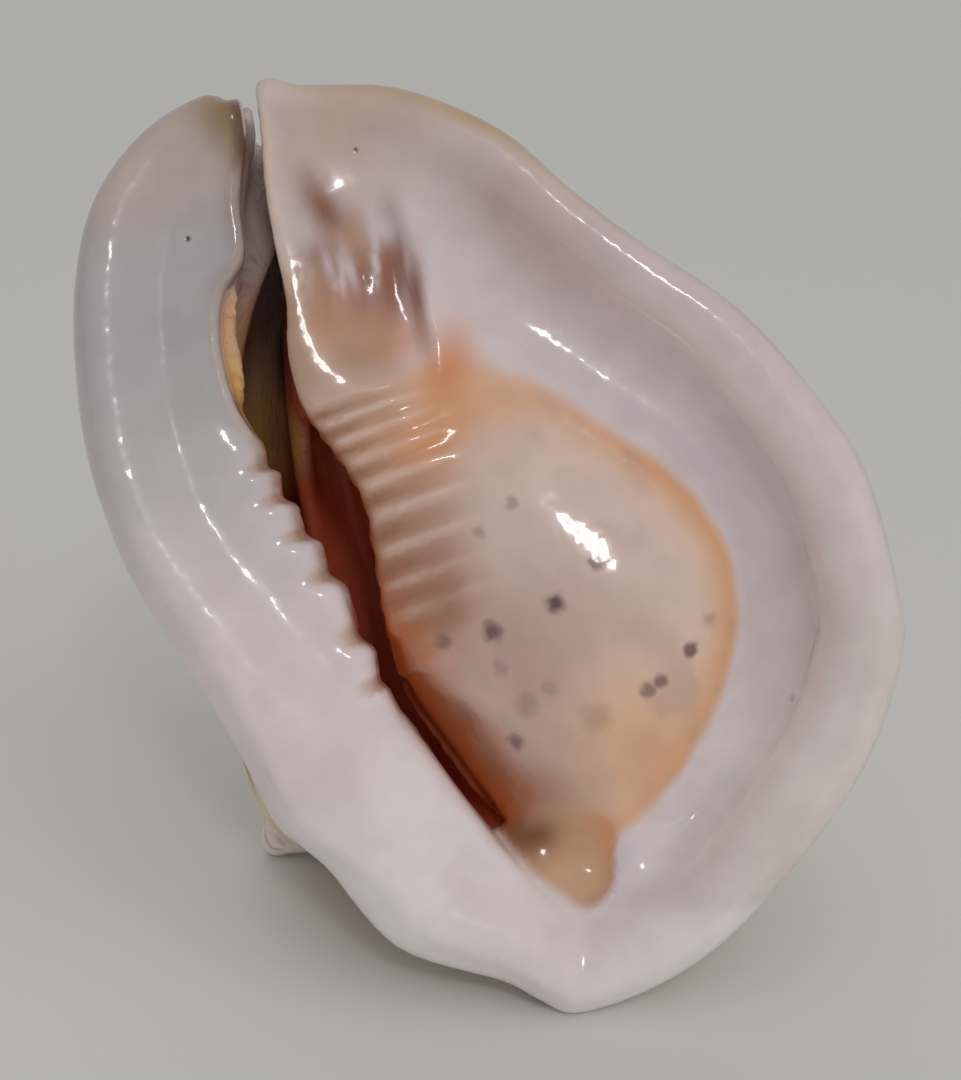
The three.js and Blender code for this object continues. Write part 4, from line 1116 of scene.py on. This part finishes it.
class Nodes:
    """Short ways to add and link the nodes of a material."""

    def __init__(self, material):
        material.use_nodes = True
        self.tree = material.node_tree
        self.shader = self.tree.nodes["Principled BSDF"]

    def add(self, kind, inputs=None, **settings):
        node = self.tree.nodes.new(kind)
        for name, value in settings.items():
            setattr(node, name, value)
        for socket, value in (inputs or {}).items():
            if isinstance(value, bpy.types.NodeSocket):
                self.tree.links.new(value, node.inputs[socket])
            else:
                node.inputs[socket].default_value = value
        return node

    def attribute(self, name, output):
        return self.add("ShaderNodeAttribute", attribute_name=name).outputs[output]

    def noise(self, vector, scale, detail, output="Fac"):
        settings = {"Vector": vector, "Scale": scale, "Detail": detail}
        return self.add("ShaderNodeTexNoise", settings).outputs[output]

    def math(self, operation, a, b):
        return self.add("ShaderNodeMath", {0: a, 1: b}, operation=operation).outputs[0]

    def vector_math(self, operation, a, b, output=0):
        return self.add("ShaderNodeVectorMath", {0: a, 1: b}, operation=operation).outputs[output]

    def ramp(self, value, start, end, low=0.0, high=1.0):
        settings = {"Value": value, "From Min": start, "From Max": end, "To Min": low, "To Max": high}
        return self.add("ShaderNodeMapRange", settings, interpolation_type="SMOOTHSTEP").outputs[0]

    def blend(self, share, a, b, mode="MIX"):
        inputs = {0: share, 6: a, 7: b}
        return self.add("ShaderNodeMix", inputs, data_type="RGBA", blend_type=mode).outputs[2]

    def link(self, output, *names):
        for name in names:
            self.tree.links.new(output, self.shader.inputs[name])


def rgba(colour):
    return (*linear(colour), 1)


# Noises of the material: lumps per millimetre, and detail
BROAD_NOISE = (0.09, 2)
GROWTH_NOISE = (0.9, 2)
FINE_NOISE = (0.3, 1)
PIT_NOISE = (0.7, 1)
GROWTH_STRETCH = (1, 0.06, 0.2)

# Roughness and clear glaze, each on the glossy face and on the bare back
ROUGHNESS = (0.22, 0.6)
GLAZE = (0.9, 0.06)
GLAZE_ROUGHNESS = 0.06

# Heights of the fine relief, in millimetres
BACK_RELIEF = 0.6
PIT_RELIEF = 0.5
GLAZE_RELIEF = 0.9
HOLE_DEPTH = 0.4


def spot_mask(nodes, place, rows):
    """1 in each of the spots, fading out round it."""
    starts, ends = SPOT_FADES
    mask = 0.0
    for u, v, radius, strength in rows:
        face = Face(np.array([u]), np.array([v]))
        top = float(np.where(face.past_lip > 0, face.top, face.lip_top)[0])
        away = nodes.vector_math("DISTANCE", place, (u, v, top), output="Value")
        spot = nodes.ramp(away, radius * starts, radius * ends, 0, strength)
        mask = nodes.math("MAXIMUM", spot, mask)
    return mask


def shell_material():
    """Painted tint with mottling, growth lines and spots, under a clear glaze."""
    material = bpy.data.materials.new("shell_glaze")
    nodes = Nodes(material)
    place = nodes.attribute("place", "Vector")
    growth = nodes.attribute("growth", "Vector")
    rough = nodes.attribute("rough", "Fac")

    # Fine mottling over the painted tint, and fine growth lines on the back
    shade = nodes.ramp(nodes.noise(place, *BROAD_NOISE), 0.3, 0.7, 0.96, 1.03)
    grey = nodes.add("ShaderNodeCombineColor", {0: shade, 1: shade, 2: shade}).outputs[0]
    colour = nodes.blend(1.0, nodes.attribute("tint", "Color"), grey, "MULTIPLY")
    lines = nodes.noise(nodes.vector_math("MULTIPLY", growth, GROWTH_STRETCH), *GROWTH_NOISE)
    on_lines = nodes.math("MULTIPLY", nodes.ramp(lines, 0.5, 0.72, 0, 0.45), rough)
    colour = nodes.blend(on_lines, colour, rgba(BACK_BROWN))

    # Spots with ragged edges, and pinholes
    ragged = nodes.noise(place, *FINE_NOISE, "Color")
    ragged = nodes.vector_math("SUBTRACT", ragged, (0.5, 0.5, 0.5))
    ragged = nodes.vector_math("MULTIPLY", ragged, SPOT_RAGGEDNESS)
    spots = spot_mask(nodes, nodes.vector_math("ADD", place, ragged), SPOTS)
    colour = nodes.blend(spots, colour, rgba(SPOT_PURPLE))
    holes = spot_mask(nodes, place, PINHOLES)
    colour = nodes.blend(holes, colour, rgba(DARK_BROWN))
    nodes.link(colour, "Base Color")

    # Glossy glaze on the face, duller inside and on the back
    wear = nodes.math("MULTIPLY", nodes.noise(place, *FINE_NOISE), 0.12)
    nodes.link(nodes.ramp(nodes.math("ADD", rough, wear), 0, 1.1, *ROUGHNESS), "Roughness")
    nodes.link(nodes.ramp(rough, 0, 1, *GLAZE), "Coat Weight")
    nodes.shader.inputs["Coat Roughness"].default_value = GLAZE_ROUGHNESS

    # Relief: growth lines and pits on the back, a faint unevenness in the glaze
    pits = nodes.math("MULTIPLY", nodes.noise(place, *PIT_NOISE), PIT_RELIEF)
    back_relief = nodes.math("MULTIPLY", nodes.math("ADD", lines, pits), rough)
    glaze = nodes.math("MULTIPLY", nodes.noise(place, *BROAD_NOISE), GLAZE_RELIEF)
    height = nodes.math("ADD", nodes.math("MULTIPLY", back_relief, BACK_RELIEF), glaze)
    height = nodes.math("SUBTRACT", height, nodes.math("MULTIPLY", holes, HOLE_DEPTH))
    bump = nodes.add("ShaderNodeBump", {"Height": height, "Strength": 0.5, "Distance": MM})
    nodes.link(bump.outputs[0], "Normal", "Coat Normal")
    return material


def make_shell():
    mesh = make_mesh("shell_surface")
    mesh.materials.append(shell_material())
    shell = bpy.data.objects.new("shell_surface", mesh)
    bpy.context.scene.collection.objects.link(shell)
    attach(shell, "root")
    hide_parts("shell")
    return shell


def make_camera():
    camera = bpy.data.objects.new("camera", bpy.data.cameras.new("camera"))
    camera.data.sensor_fit = "VERTICAL"
    camera.data.sensor_height = SENSOR
    camera.data.lens = SENSOR * FOCAL_PIXELS / IMAGE_HEIGHT
    camera.data.clip_start = 0.01
    middle = pose() @ Vector(VIEW_CENTRE)
    outward = Vector((0, -math.cos(FACE_LEAN), math.sin(FACE_LEAN)))
    camera.location = middle + outward * VIEW_DISTANCE * MM
    camera.rotation_euler = outward.to_track_quat("Z", "Y").to_euler()
    bpy.context.scene.collection.objects.link(camera)
    bpy.context.scene.camera = camera


def make_floor():
    bpy.ops.mesh.primitive_plane_add(size=FLOOR_SIZE, location=(0, 0, 0))
    floor = bpy.context.object
    floor.name = "floor"
    material = bpy.data.materials.new("floor")
    nodes = Nodes(material)
    nodes.shader.inputs["Base Color"].default_value = rgba(FLOOR_COLOUR)
    nodes.shader.inputs["Roughness"].default_value = FLOOR_ROUGHNESS
    floor.data.materials.append(material)


def outward_to(spec):
    """The direction from the shell to a light."""
    right, up = spec["right"] * DEG, spec["up"] * DEG
    return Vector((math.sin(right) * math.cos(up), -math.cos(right) * math.cos(up), math.sin(up)))


def add_light(name, data, spec, place=(0, 0, 0)):
    light = bpy.data.objects.new(name, data)
    light.location = place
    light.rotation_euler = outward_to(spec).to_track_quat("Z", "Y").to_euler()
    bpy.context.scene.collection.objects.link(light)
    return light


def window_pane(shift):
    """One pane of the window, shifted sideways from its middle."""
    data = bpy.data.lights.new("window", "AREA")
    data.shape = "RECTANGLE"
    data.size, data.size_y = WINDOW["size"]
    data.energy = WINDOW["power"]
    right = WINDOW["right"] * DEG
    sideways = Vector((math.cos(right), math.sin(right), 0)) * shift
    place = Vector(LIGHT_TARGET) + outward_to(WINDOW) * WINDOW["away"] + sideways
    add_light("window", data, WINDOW, place)


def soft_light(name, spec):
    """Even light from a wide patch of sky, which leaves no highlight."""
    data = bpy.data.lights.new(name, "SUN")
    data.energy = spec["strength"]
    data.angle = SOFTNESS
    add_light(name, data, spec).visible_glossy = False


def make_lights():
    for side in (-0.5, 0.5):
        window_pane(side * WINDOW["gap"])
    for name, spec in SOFT_LIGHTS.items():
        soft_light(name, spec)
    world = bpy.data.worlds.new("world")
    world.use_nodes = True
    background = world.node_tree.nodes["Background"]
    background.inputs["Color"].default_value = (*SKY, 1)
    background.inputs["Strength"].default_value = SKY_STRENGTH
    bpy.context.scene.world = world
    bpy.context.scene.view_settings.view_transform = "Standard"


make_camera()
make_floor()
make_lights()
make_shell()
